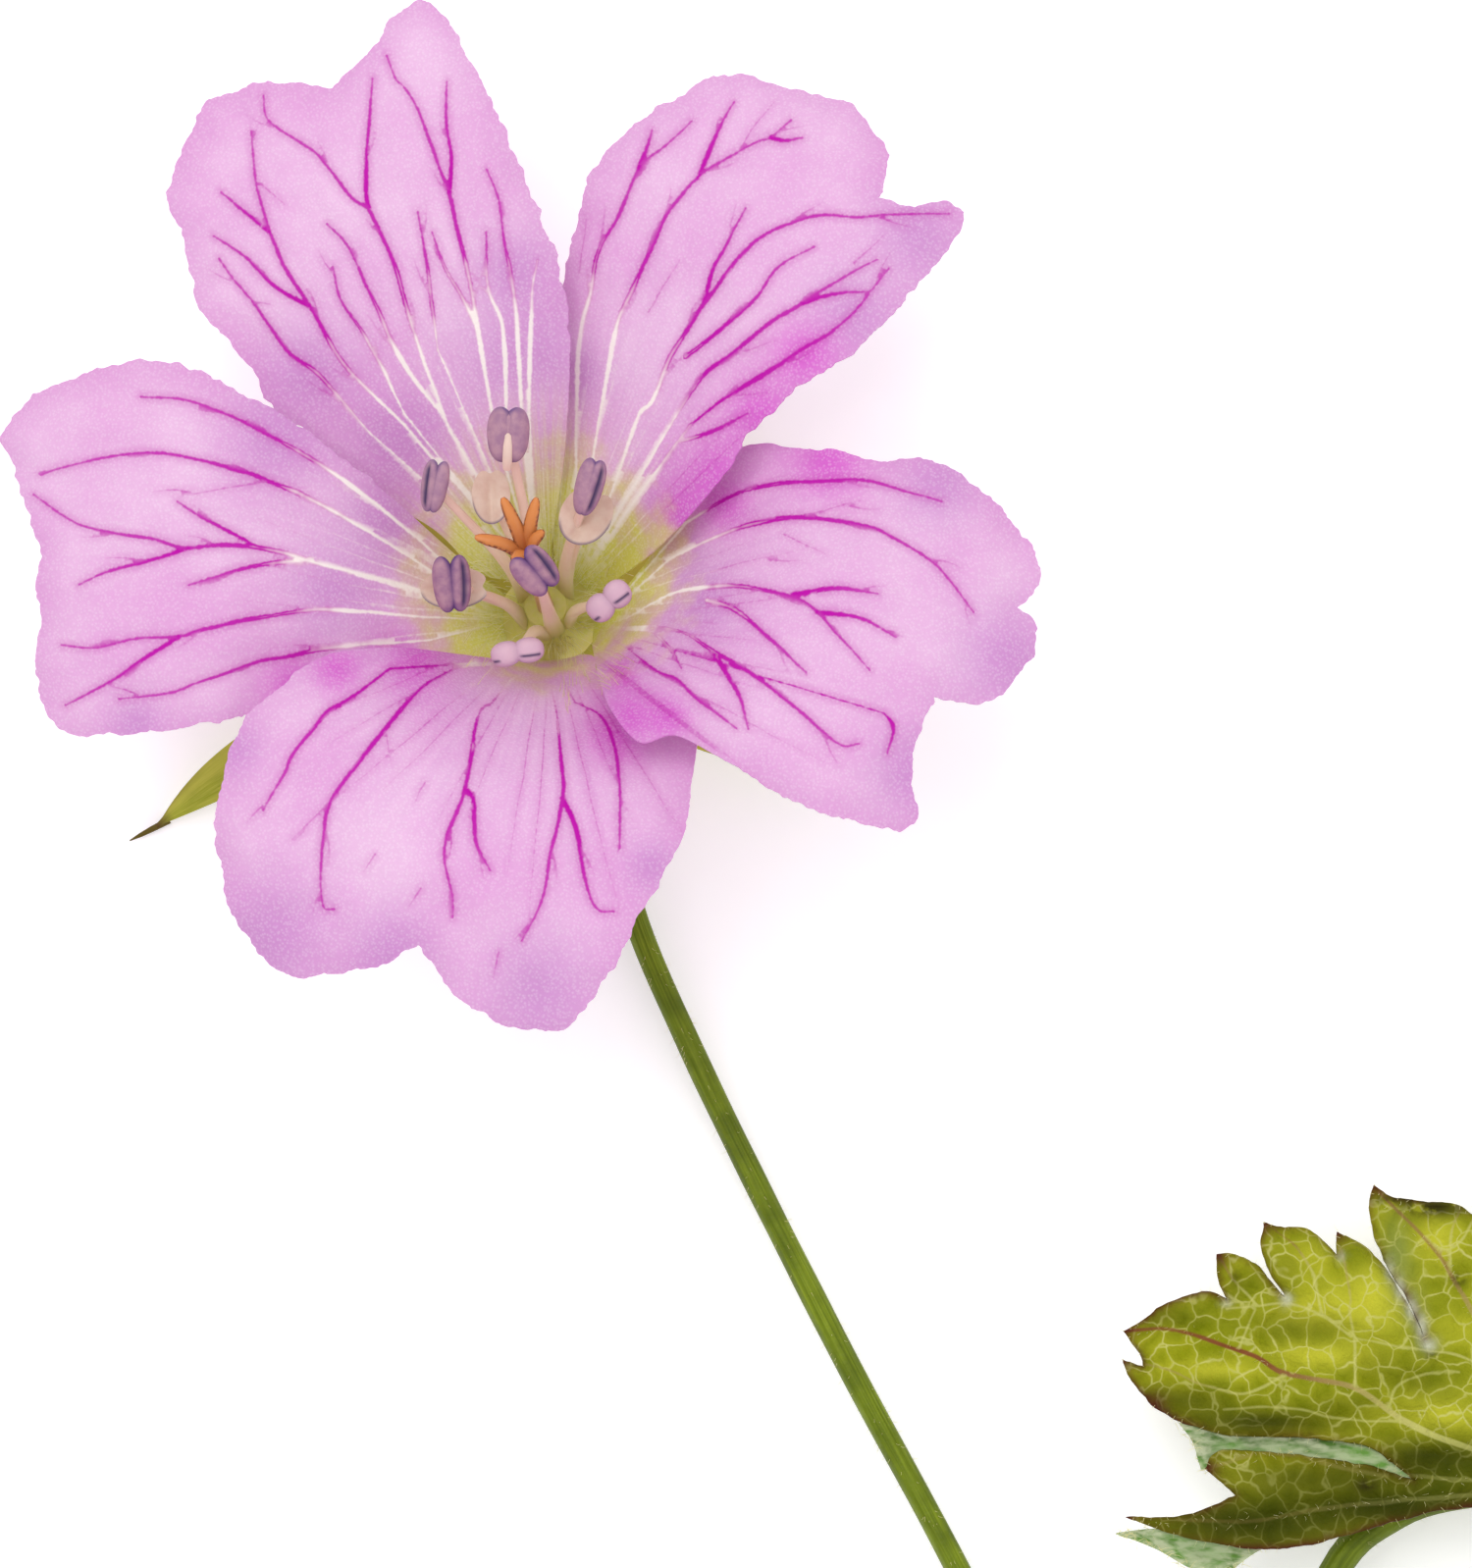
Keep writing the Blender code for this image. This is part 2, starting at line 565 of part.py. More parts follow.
def make_stalks(mats):
    """The flower stalk, the stem node, the cut stem and the leaf stalk."""
    neck = [in_flower(0.0, 0.0, STALK_FROM), in_flower(0.0, 0.0, STALK_FROM - 0.7)]
    way = smooth_path(neck + FLOWER_STALK, 34)
    flower_stalk = tube("flower_stalk", way, [STALK_RADIUS] * len(way), 8, mats["stem"])
    along = Vector(CUT_STEM[1]) - Vector(CUT_STEM[0])
    node = ellipsoid("node", Vector(CUT_STEM[0]),
                     (2.0 * NODE_RADIUS, 2.0 * NODE_RADIUS, NODE_LENGTH),
                     along.to_track_quat("Z", "Y").to_matrix(), mats["stem"],
                     sides=12, bands=7)
    cut_way = smooth_path(CUT_STEM, 5)
    cut_stem = tube("cut_stem", cut_way, [CUT_STEM_RADIUS] * len(cut_way), 12, mats["stem"])
    leaf_way = smooth_path(PETIOLE, 20)
    petiole = tube("petiole", leaf_way, [PETIOLE_RADIUS] * len(leaf_way), 8, mats["stem"])
    return fuse("stem", [cut_stem, node, flower_stalk, petiole], mats["stem"])


def make_leaf(mats):
    """The palmate leaf blade with its toothed lobes."""
    outline = smooth_outline(LEAF_OUTLINE, LEAF_RIM_STEP)
    area = (outline[:, 0] * np.roll(outline[:, 1], -1)
            - np.roll(outline[:, 0], -1) * outline[:, 1]).sum()
    if area < 0.0:
        outline = outline[::-1]
    return blade("leaf_blade", outline, leaf_height, LEAF_THICKNESS, BLADE_STEP, mats["leaf"])


def main():
    for obj in list(bpy.data.objects):
        bpy.data.objects.remove(obj)
    mats = {
        "petal": material("petal_pink", (0.78, 0.46, 0.75), 0.55),
        "calyx": material("sepal_green", (0.30, 0.37, 0.03), 0.60),
        "stamens": material("anther_mauve", (0.36, 0.24, 0.34), 0.60),
        "pistil": material("stigma_orange", (0.72, 0.32, 0.09), 0.60),
        "stem": material("stem_green", (0.09, 0.13, 0.01), 0.60),
        "leaf": material("leaf_green", (0.24, 0.31, 0.02), 0.60),
    }
    make_petals(mats)
    make_calyx(mats)
    make_stamens(mats)
    make_pistil(mats)
    make_stalks(mats)
    make_leaf(mats)
    place = Vector((FLOWER_X * MM, FLOWER_Y * MM, 0.0))
    for obj in bpy.data.objects:
        obj.location = place


main()
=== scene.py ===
"""The looks of a cut sprig of hardy geranium, over its CAD frame.

Lengths in the code are in millimetres from the middle of the flower, where
the petals meet: x runs to the right, y away from the cut end, and z up from
the surface that the sprig lies on. Sizes and colours that a user would
change are in the property groups.
"""
import math
import random

import bpy
import numpy as np
from mathutils import Matrix, Vector, noise
from mathutils.geometry import delaunay_2d_cdt
from mathutils.kdtree import KDTree


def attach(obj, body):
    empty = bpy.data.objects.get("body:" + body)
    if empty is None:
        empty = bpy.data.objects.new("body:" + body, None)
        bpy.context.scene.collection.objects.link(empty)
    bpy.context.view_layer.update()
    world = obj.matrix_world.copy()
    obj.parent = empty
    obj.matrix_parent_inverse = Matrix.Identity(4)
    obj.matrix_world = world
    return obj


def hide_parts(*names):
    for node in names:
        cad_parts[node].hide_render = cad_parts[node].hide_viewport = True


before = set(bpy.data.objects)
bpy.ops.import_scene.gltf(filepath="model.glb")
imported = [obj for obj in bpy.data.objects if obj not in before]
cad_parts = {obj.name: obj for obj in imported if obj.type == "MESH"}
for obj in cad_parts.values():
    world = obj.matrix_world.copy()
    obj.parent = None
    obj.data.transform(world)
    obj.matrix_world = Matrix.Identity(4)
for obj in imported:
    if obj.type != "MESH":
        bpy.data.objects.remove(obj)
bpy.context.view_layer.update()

bl_info = {
    "name": "Hardy geranium sprig",
    "version": (1, 0, 0),
    "blender": (4, 5, 0),
    "location": "3D view > Sidebar > Sprig",
    "description": "Petals, stamens, leaf and stalks of a cut geranium sprig",
    "category": "Object",
}

MM = 0.001

# The flower's place and lean, and the shape of its funnel, as in the CAD part
FLOWER_X, FLOWER_Y, FLOWER_Z = -17.15, 18.405, 5.9
FLOWER_AXIS = Vector((-0.105, 0.330, 0.938)).normalized()
FUNNEL_DEPTH = 10.0
FUNNEL_REACH = 6.2
PETAL_OVERLAP_LIFT = 1.05
PETAL_ARCH = 0.5
PETAL_REACH = 18.0
CLAW_RADIUS = 1.6
CLAW_HEIGHT = 0.35
CLAW_LENGTH = 4.0
HEIGHT_ROUNDS = 40

# How far from a vein its gap is still measured, how fast a blade thins
# towards its rim, and how strong a petal's soft areas are
VEIN_REACH = 0.8
RIM_FALL = 0.5
AREA_SHARE = 0.8

# Colours that no piece's settings hold: a sepal's yellow-green painted light
# and its reddish parts, the painted white glints of skin cells and the fibres
# of the paper
PAINTED_LIGHT_GREEN = "#D4CE5D"
RUDDY = "#592922"
PAINTED_GLINT = "#FFFFFF"
FIBRES = "#F9F9F9"

# The camera's frame at the height of the petals, and its middle
FRAME_HEIGHT = 55.1
FRAME_MIDDLE = (6.55, -5.76, 9.0)
SENSOR_HEIGHT = 36.0

# The number of hairs at each petal's claw, around the filaments' ring, on the
# flower stalk and on the leaf stalk
CLAW_HAIRS, RING_HAIRS, STALK_HAIRS, PETIOLE_HAIRS = 44, 70, 420, 260

# Each petal: the bearings it spans, how its tip bends back, how far out its
# veins stay pale and its throat stays green (at its first bearing and at its
# second), its outline (a third value marks a corner), the routes of its main
# veins, and the soft areas (x, y, radius) that are magenta, and those where
# lilac shade is painted over the limb
PETALS = {}
PETALS["petal_upper_left"] = {
    "bearings": (137, 87), "reflex": 0.6, "reflex_from": 13,
    "pale_to": (11, 12.4), "green_to": (5.4, 5.8),
    "outline": [
        (-0.9, 1.5, 1), (-1.9, 2.3), (-3.4, 3.9), (-5.2, 5.1), (-7.9, 6.6), (-9.5, 7.2),
        (-11.1, 9.6), (-12.3, 11.1), (-13, 13.6), (-13.4, 15), (-12.8, 16.6), (-12, 18.2),
        (-10.2, 19), (-8.8, 18.9), (-7.7, 18.8, 1), (-6.5, 19.8), (-5.4, 21.2), (-4.5, 21.8, 1),
        (-3.7, 21.1), (-2.2, 18.6), (-1, 15.8), (0.4, 12.1), (0.7, 8.7), (0.5, 5.6), (0.1, 3),
        (0, 1.7, 1),
    ],
    "veins": [
        [(-5.1, 6.9), (-7.2, 9), (-8.4, 11), (-9.3, 12.4), (-9.8, 13.6), (-10.1, 14.6),
         (-10.3, 15.5), (-10.5, 17.2)],
        [(-8.4, 11), (-9.6, 11.7), (-10.6, 12.7), (-11.8, 13.5)],
        [(-9.8, 13.6), (-10.5, 14.2), (-11.5, 15)],
        [(-10.1, 15.3), (-9.3, 14.6)],
        [(-3.5, 6.7), (-4.7, 10), (-5.3, 12.1), (-5.8, 13.3), (-6.3, 14.4), (-6.9, 14.8),
         (-7.7, 15.8), (-8.2, 16.4), (-8.8, 16.8), (-9.9, 17.6), (-10.1, 18.5)],
        [(-6.3, 14.4), (-6.4, 15), (-6.4, 16.4), (-6.3, 17.6), (-6.2, 19)],
        [(-1.9, 6.7), (-2.5, 10.2), (-2.8, 12.1), (-3.2, 13.6), (-3.5, 15), (-3.9, 16),
         (-4.6, 17.9), (-5.1, 18.7), (-5.4, 19), (-5.7, 19.8)],
        [(-3.5, 15), (-3.4, 16.2), (-3.6, 17.4), (-3.6, 18.9)],
        [(-0.9, 6.6), (-1.2, 11.2), (-1.6, 13.6), (-1.8, 14.8), (-2.2, 15.8)],
        [(-6.3, 6.6), (-8, 8.5), (-9.3, 9.6), (-10.4, 11.2), (-11.1, 12), (-11.6, 12.7)],
        [(-10.4, 11.2), (-9.8, 11.1)],
        [(-5.1, 7.3), (-6.3, 9.7), (-7.3, 11.2), (-7.6, 12.4)],
        [(-3.8, 7.3), (-5.2, 9.2), (-6.7, 12.4), (-7.2, 13.3), (-7.8, 13.9)],
        [(-2.55, 10.4), (-3.2, 11.6), (-3.7, 12.5), (-4.1, 13.6)],
        [(-3.9, 9.5), (-4.3, 12.6), (-4.6, 14.3)],
        [(-1.5, 7.3), (-1.6, 10.2), (-2.1, 11.6), (-2.2, 13.6)],
        [(-0.7, 7.3), (-0.6, 11.2), (-0.4, 12.6)],
    ],
    "magenta": [],
    "lilac": [(-8.6, 8.6, 1.8), (-1, 9.4, 2), (-1.2, 12.2, 1.3), (-5.2, 6.2, 2)],
}
PETALS["petal_upper_right"] = {
    "bearings": (87, 38), "reflex": 1, "reflex_from": 13,
    "pale_to": (12.6, 6.4), "green_to": (5.8, 5),
    "outline": [
        (0.5, 1.6, 1), (0.7, 3), (0.95, 5.2), (0.65, 7.8), (0.4, 11.4), (1.2, 14.9), (1.9, 16.3),
        (2.9, 17.3), (4.8, 18.6), (6.5, 19), (8.2, 18.7), (10, 18.3), (11.2, 17.6), (11.9, 16.1),
        (11.5, 14.7, 1), (12.6, 14.4), (13.8, 14.6), (14.6, 14.3, 1), (14, 13), (12.6, 11.4),
        (10.8, 9.4), (8.4, 7.8), (6.9, 6.3), (6, 4.9), (4, 2.7), (2.3, 1.4), (1.4, 0.9, 1),
    ],
    "veins": [
        [(1, 6.2), (1.1, 9.6), (1.5, 11.5), (1.9, 13.1), (2.5, 14.2), (3.2, 15.8), (4, 16.6),
         (5, 17.5)],
        [(3.2, 15.8), (3.4, 16.4), (3.6, 17.2)],
        [(1.6, 5.7), (2.1, 8.6), (2.5, 10.5), (3.3, 12.3), (4.1, 14.1), (5.2, 15.5), (6.6, 16.4),
         (7.4, 16.7), (7.8, 16.8), (8.5, 17.4)],
        [(4.1, 14.1), (4.3, 15.1)],
        [(5.2, 15.5), (6.1, 17.4), (6.5, 18.1)],
        [(6.6, 16.4), (7.9, 18.1)],
        [(7.8, 16.8), (8.3, 16.7), (8.9, 16.8)],
        [(2.3, 4.6), (3.2, 7.1), (3.7, 7.7), (4.4, 9.4), (5.4, 11), (6.3, 12.1), (6.8, 12.8),
         (7.7, 13.5), (9.4, 14.1), (11.2, 14), (14, 14.2)],
        [(5.4, 11), (5.7, 12), (6.2, 13.1), (6.9, 14.4)],
        [(4.8, 9.2), (6, 10.1), (7.3, 11.2), (8.1, 12.3), (9.3, 13)],
        [(4.5, 7.1), (5.4, 8.5), (6.3, 9.2), (7.9, 10.4), (8.9, 11), (10.1, 11.8), (11.5, 12.5)],
        [(8.9, 11), (10.2, 11.4), (11.2, 11.4)],
        [(10.7, 12.4), (11.7, 13.3)],
        [(6.3, 9.2), (8, 9.7)],
        [(5, 6.8), (6.3, 7.8), (7.7, 8.6), (9, 9.5), (10.4, 10.4), (11.9, 12.2)],
        [(6.3, 7.8), (7.7, 7.9)],
        [(4.6, 6.2), (5.8, 6.6), (7, 7.2)],
        [(1.8, 12.8), (2, 14.4)],
        [(1.1, 12.2), (1.3, 14.1)],
        [(3.5, 10.8), (4.6, 12.6)],
    ],
    "magenta": [(4.7, 3.7, 1.1), (5.9, 5, 1.5), (7.4, 7.2, 1.3), (9, 9.2, 1.2)],
    "lilac": [(0.9, 8.6, 1.2), (12.9, 13.3, 1.5), (10.6, 10.6, 1.6)],
}
PETALS["petal_right"] = {
    "bearings": (38, -50), "reflex": 4.2, "reflex_from": 8,
    "pale_to": (8.6, 0.6), "green_to": (5.3, 1.9),
    "outline": [
        (1.6, 0.3, 1), (2.7, 0.7), (4.3, 2), (6.1, 4.4), (7.9, 5.5), (9.8, 5.9), (11.2, 5.6),
        (13.4, 5.5), (15.5, 4.1), (16.9, 2.4), (17, 1.1), (16.4, 0.4, 1), (17, -0.4), (16.6, -1.7),
        (15.2, -3), (13.4, -2.7, 1), (12.9, -4.2), (12.6, -5.8), (12.9, -7), (12.2, -7.4, 1),
        (10.1, -6.9), (8.4, -6.3), (6.3, -5.1), (4.5, -4.1), (3.2, -4.3), (2.2, -3.2), (1.75, -2),
        (1.5, -0.9, 1),
    ],
    "veins": [
        [(4.9, 3.4), (6.7, 4.4), (8.1, 4.7), (9.9, 4.8), (11.3, 4.8), (12.6, 4.4), (13.7, 4)],
        [(4.3, 2.1), (5.8, 2.8), (7.2, 3.3), (9, 3.5), (10.7, 3.3), (11.9, 2.9), (13.5, 1.9),
         (14.8, 0.2)],
        [(9.1, 3.6), (10.9, 4.1)],
        [(2.8, 0), (4.3, 0.8), (5.8, 1.1), (7.3, 1), (8.6, 0.7), (9.4, 0.2), (10.1, -0.6),
         (11.2, -1.8)],
        [(8.6, 0.8), (10.1, 1), (11.5, 0.8)],
        [(9.4, 0.2), (10.8, 0), (12.1, -0.7)],
        [(8.3, 2.9), (9.7, 2.2)],
        [(7.8, 2), (8.9, 2)],
        [(5.6, 0.6), (6.5, 0.3), (7.6, -0.6), (9, -1.9)],
        [(3.8, -0.3), (4.9, -0.6), (5.8, -1.2), (7.2, -2), (8.8, -3.3), (10.1, -4.4), (10.8, -4.4)],
        [(5.8, -1.2), (6.6, -2.6), (7, -3.9)],
        [(2.7, -1), (3.8, -1.9), (4.5, -2.2), (5.3, -2.9), (6.6, -3.9)],
        [(3.7, -0.5), (4.3, -1.1), (4.7, -1.8)],
        [(4.4, -0.1), (5.8, -0.2)],
        [(11.7, -3.3), (12, -3.8), (11.8, -4.7)],
    ],
    "magenta": [(2.6, -2, 0.6), (2.9, -3.4, 1), (4.2, -3.5, 0.8), (6.2, 4, 1), (9.8, 5.4, 1.3)],
    "lilac": [(4.6, 2.4, 0.9), (13.6, 4.6, 1.4), (15.9, -1.4, 1.7), (12.7, -5.4, 1.5),
              (5.4, 0.6, 1.3)],
}
PETALS["petal_lower"] = {
    "bearings": (-50, -170), "reflex": 5, "reflex_from": 8,
    "pale_to": (2.4, 4.9), "green_to": (1.7, 2),
    "outline": [
        (0.7, -1.4, 1), (0.9, -2.2), (1.8, -3.1), (3.5, -3.8), (4.4, -4.4), (4.1, -6.3),
        (3.6, -8.9), (2.7, -11.3), (1.6, -13.1), (0.8, -14.1), (-0.8, -14.3), (-2, -13.9),
        (-3.6, -12.6), (-4.5, -11.3, 1), (-5.7, -12), (-7.4, -12.3), (-9, -12.4), (-10.3, -11.4),
        (-11.3, -9.4), (-11.5, -6.8), (-10.7, -3.8), (-8.8, -1.9), (-7.4, -1.2), (-5.2, -1),
        (-2.6, -1.3), (-1.4, -1.4), (-0.6, -1.4, 1),
    ],
    "veins": [
        [(-5.6, -1.8), (-7, -2.9), (-7.8, -3.4), (-8.9, -4.8), (-9.2, -5.4), (-9.9, -6.7)],
        [(-3.4, -1.8), (-4.5, -2.5), (-5.7, -3.9), (-7.5, -6.3), (-7.8, -7.6), (-7.9, -8.8),
         (-7.8, -10), (-7.4, -10.1)],
        [(-7.5, -6.3), (-8.9, -7.7)],
        [(-5.7, -3.9), (-5.5, -5)],
        [(-1.4, -2.2), (-2, -3), (-2.5, -3.5), (-2.9, -6), (-3.6, -8), (-3.3, -9.7), (-3.3, -10.4)],
        [(-2.9, -6), (-2.6, -6.4), (-2.5, -7.8), (-2, -8.8)],
        [(-0.1, -2.2), (0.2, -3.1), (0.5, -5.4), (0.5, -6.3), (0.1, -8.2), (-0.2, -9.8),
         (-0.9, -11.2)],
        [(0.5, -6.3), (1, -7.4), (1.3, -9.1), (1.7, -10.1), (2.3, -10.2)],
        [(0.9, -3), (1.8, -3.5), (2.3, -4.5), (2.5, -6), (2.5, -8)],
        [(-4.3, -5.8), (-4.6, -6.4)],
        [(-6, -8.2), (-6.4, -8.8)],
        [(-4.4, -9.4), (-4.8, -10)],
        [(-1.7, -11.6), (-1.9, -12.5)],
    ],
    "magenta": [(-4.6, -1.5, 1.2), (2.4, -4, 1.3), (-7.4, -1.8, 0.9)],
    "lilac": [(-9.6, -11, 2), (-5.4, -11.6, 1.5), (-0.3, -12.9, 1.8), (-10.9, -4.6, 1),
              (3.6, -8.6, 0.9)],
}
PETALS["petal_left"] = {
    "bearings": (-170, -223), "reflex": 2.6, "reflex_from": 10,
    "pale_to": (8, 10.2), "green_to": (4.4, 5.2),
    "outline": [
        (-1.6, -0.9, 1), (-2.6, -1.4), (-4.5, -2), (-7.6, -2.3), (-10.2, -3.3), (-12.2, -3.7),
        (-14.4, -4), (-16.4, -4), (-17.5, -3.4), (-17.9, -1.8), (-17.8, 0.8), (-17.9, 2.5),
        (-18.5, 4.4), (-19.2, 6.1), (-19.2, 6.8), (-18.5, 7.6), (-16.9, 8.4), (-14.6, 9),
        (-12.4, 8.8), (-11.2, 8.1), (-9.2, 7.1), (-7.7, 6), (-6.7, 5.3), (-5.1, 3.9), (-3.1, 2.1),
        (-1.6, 0.9, 1),
    ],
    "veins": [
        [(-4.6, 2.8), (-6.2, 4.1), (-7.7, 5.2), (-9.2, 6.1), (-10.7, 6.9), (-12.2, 7.5), (-13, 7.7),
         (-14.3, 7.8)],
        [(-4.8, 2.1), (-6.7, 3.3), (-8.2, 4.1), (-9.2, 4.6), (-10.9, 5.2), (-12.8, 5.7),
         (-14.3, 5.8), (-15.5, 5.7), (-17.3, 5.3), (-17.9, 5.1)],
        [(-4.4, 1), (-6.2, 1.5), (-8.2, 2), (-9.6, 2.4), (-11.2, 2.6), (-12.6, 2.5), (-13.9, 2.8),
         (-15.7, 3.1), (-16.8, 3.5), (-18.1, 4.4)],
        [(-12.6, 2.5), (-13.9, 2.1), (-15.3, 1.7), (-16.4, 1.2)],
        [(-8.4, 2.1), (-10.2, 1.9), (-11.6, 1.5), (-12.6, 1.2)],
        [(-4.4, 0.1), (-6.7, 0.3), (-8.6, 0.3), (-10.4, 0), (-12.2, -0.4), (-12.9, -0.6),
         (-14.5, -0.7), (-15.8, -1), (-17, -0.9)],
        [(-12.9, -0.6), (-14.3, -1.5), (-15.3, -2.2), (-16.9, -3)],
        [(-4.3, -0.7), (-7.2, -0.9), (-9.2, -1.3), (-10.2, -1.5), (-12.2, -2.2), (-13.2, -2.6),
         (-15, -2.8)],
        [(-10.3, 2.6), (-12.2, 3.6), (-13, 4.1)],
        [(-10, 4.8), (-12.8, 4.3)],
    ],
    "magenta": [(-8.8, -2.4, 1.2), (-5.6, -1.5, 1)],
    "lilac": [(-9.6, 6.4, 1.8), (-5.8, 3.6, 1.4), (-14.4, -3.7, 1), (-7.6, 1, 1.6)],
}

# Sepals: the bearing of each, how far its tip reaches, how high it ends, its
# width and how far it bows sideways
SEPALS = [
    (92.0, 11.2, 0.31, 3.4, 0.0),
    (53.0, 11.0, 1.2, 3.4, 0.0),
    (-26.0, 12.0, 1.4, 3.4, 0.0),
    (207.4, 15.8, 0.31, 2.45, -4.8),
    (146.0, 12.0, 1.2, 3.4, 0.0),
]

# The receptacle: heights along the flower's axis and radii
RECEPTACLE = [
    (-2.15, 0.50), (-2.0, 0.80), (-1.6, 1.14), (-1.1, 1.28), (-0.6, 1.34), (-0.1, 1.46),
    (0.2, 1.62), (0.33, 1.74),
]

# Stamens: the anther's place, its height along the flower's axis, the
# filament's bulge, the bearing of the anther's length, its length, the width
# of each lobe, how far apart the lobes lie, how pale they are, and which
# lobe shows its slit (1 or -1, 2 for both, 0 for neither)
STAMENS = [
    (-1.41, 6.45, 9.2, 0.63, 88.0, 1.95, 0.98, 0.50, 0.10, 0),
    (-4.00, 4.66, 8.0, 0.54, 80.0, 1.86, 0.62, 0.32, 0.15, -1),
    (1.41, 4.62, 8.0, 0.54, 75.0, 2.04, 0.74, 0.26, 0.10, 1),
    (-3.38, 1.24, 7.2, 0.54, 95.0, 2.00, 0.80, 0.54, 0.0, 1),
    (-0.45, 1.66, 9.0, 0.36, 130.0, 1.70, 0.84, 0.60, 0.0, 1),
    (2.10, 0.65, 5.4, 0.54, 129.0, 1.02, 0.84, 0.76, 0.75, 2),
    (-1.10, -1.14, 5.6, 0.54, 100.0, 0.90, 0.94, 0.80, 0.75, 2),
]

# Spent anthers, opened into thin plates: the place, the height, the bearing
# of the length, the length and the width
SPENT_ANTHERS = [
    (-2.03, 4.34, 6.6, 92.0, 2.0, 1.35),
    (1.30, 3.66, 6.0, 58.0, 2.2, 1.80),
    (-3.28, 1.10, 5.9, 4.0, 2.45, 1.45),
]

# Stigma branches: the tip's place beside the axis and its height
STYLE_FROM = 1.45
STYLE_TOP = 7.0
STIGMA_TIPS = [
    (-0.75, 1.45, 8.7),
    (0.45, 1.45, 8.7),
    (-1.75, 0.25, 8.0),
    (0.70, 0.35, 8.3),
    (-0.35, -0.75, 8.2),
]

# The stalks' ways, as in the CAD part, but grown on to the calyx and the blade
STALK_FROM = -1.7
FLOWER_STALK = [
    (1.1, -3.2, 1.9), (2.0, -6.6, 1.35), (3.05, -10.7, 1.2), (4.8, -14.8, 1.15),
    (7.1, -19.6, 1.1), (10.6, -26.5, 1.1), (14.1, -33.0, 1.1), (18.4, -41.5, 1.15),
    (22.4, -50.0, 1.2),
]
CUT_STEM = [(22.8, -50.8, 1.2), (24.6, -54.6, 1.0), (26.3, -58.4, 0.96)]
PETIOLE = [
    (22.8, -50.8, 1.2), (25.0, -43.5, 2.2), (27.4, -34.4, 2.6), (30.0, -31.6, 2.75),
    (33.4, -30.7, 3.3), (35.9, -30.6, 3.55), (37.1, -30.6, 4.4),
]

# Leaf blade
LEAF_CENTRE = (37.2, -30.6)
LEAF_HEIGHT = 4.7
LEAF_SLOPE = 0.11
LEAF_DROOP = 2.6
LEAF_REACH = 17.0
LEAF_PLEAT = 0.085
PLEAT_FADE = 22.0
PLEAT_SPAN = 30.0
LEAF_FOLDS = [184.0, 162.0, 127.0, 80.0, 26.0, -17.0]
LEAF_OUTLINE = [
    (36, -31.9, 1), (32.4, -31.3), (28.8, -32.1), (26.9, -32.6), (25.2, -32.8), (24, -32.7),
    (22, -32.3), (20.3, -31.7, 1), (22.4, -31.6), (24.2, -30.9, 1), (23.1, -30, 1), (23.6, -29.4),
    (25.4, -29.4), (28.6, -29.8), (30.5, -30.4, 1), (28.9, -29.2), (27.1, -28.9), (24.9, -28.8),
    (23.6, -28.7), (22.3, -28.3), (21.3, -27.8, 1), (20.5, -26.8), (20.2, -26.1, 1),
    (20.9, -26.3, 1), (20.8, -25.9), (20.2, -25.1, 1), (21, -24.7), (21.8, -24.1), (22.7, -23.8),
    (23.3, -23.7), (23.9, -24, 1), (23.6, -23.3), (23.5, -22.4, 1), (24.2, -22.4), (24.9, -22.7),
    (25.28, -23.08), (25.6, -23.5), (25.9, -23.9, 1), (25.66, -23.42), (25.34, -22.9), (25.1, -22),
    (25.2, -21.2, 1), (25.8, -21.4), (26.7, -21.5), (27.3, -21.9), (27.8, -22.4, 1),
    (27.8, -21.5, 1), (28.6, -22), (29.42, -22.82), (30.24, -24.16), (31, -25.6, 1), (30.34, -24.1),
    (29.52, -22.72), (29.02, -21.4), (28.96, -20.6), (29.1, -19.9, 1), (29.7, -20.3), (30.6, -20.5),
    (31.9, -20.6), (32.6, -21, 1), (32.7, -20, 1), (33.9, -20.7), (34.6, -21.8, 1), (34.9, -21, 1),
    (35.7, -22.6), (36, -25, 1), (36.6, -22.6), (37.2, -21.2, 1), (37.7, -21.6, 1), (38, -19.6, 1),
    (38.8, -20.3), (39.6, -20.4, 1), (40.8, -18.2, 1), (41.3, -20), (42.4, -20.9, 1),
    (43.6, -20.6, 1), (43.4, -22.2), (42.2, -24.4), (41.4, -27, 1), (43.4, -25.4), (45.6, -24.5, 1),
    (46.6, -22.9, 1), (47.4, -23.9), (48.9, -24, 1), (50.4, -22.6, 1), (50.5, -24.2),
    (51.6, -25, 1), (53.6, -24.6, 1), (52.6, -26.2), (52.3, -27.4, 1), (53.4, -28.2, 1),
    (50.6, -29), (46.8, -29.6), (42.6, -30.4, 1), (46, -30.8), (48.4, -31.4, 1), (50.4, -31.2, 1),
    (49.8, -32.4, 1), (51.4, -33.6, 1), (49.4, -34), (48.4, -34.6, 1), (48.6, -36, 1), (46, -35.4),
    (42.4, -33.6), (38.6, -31.9, 1),
]

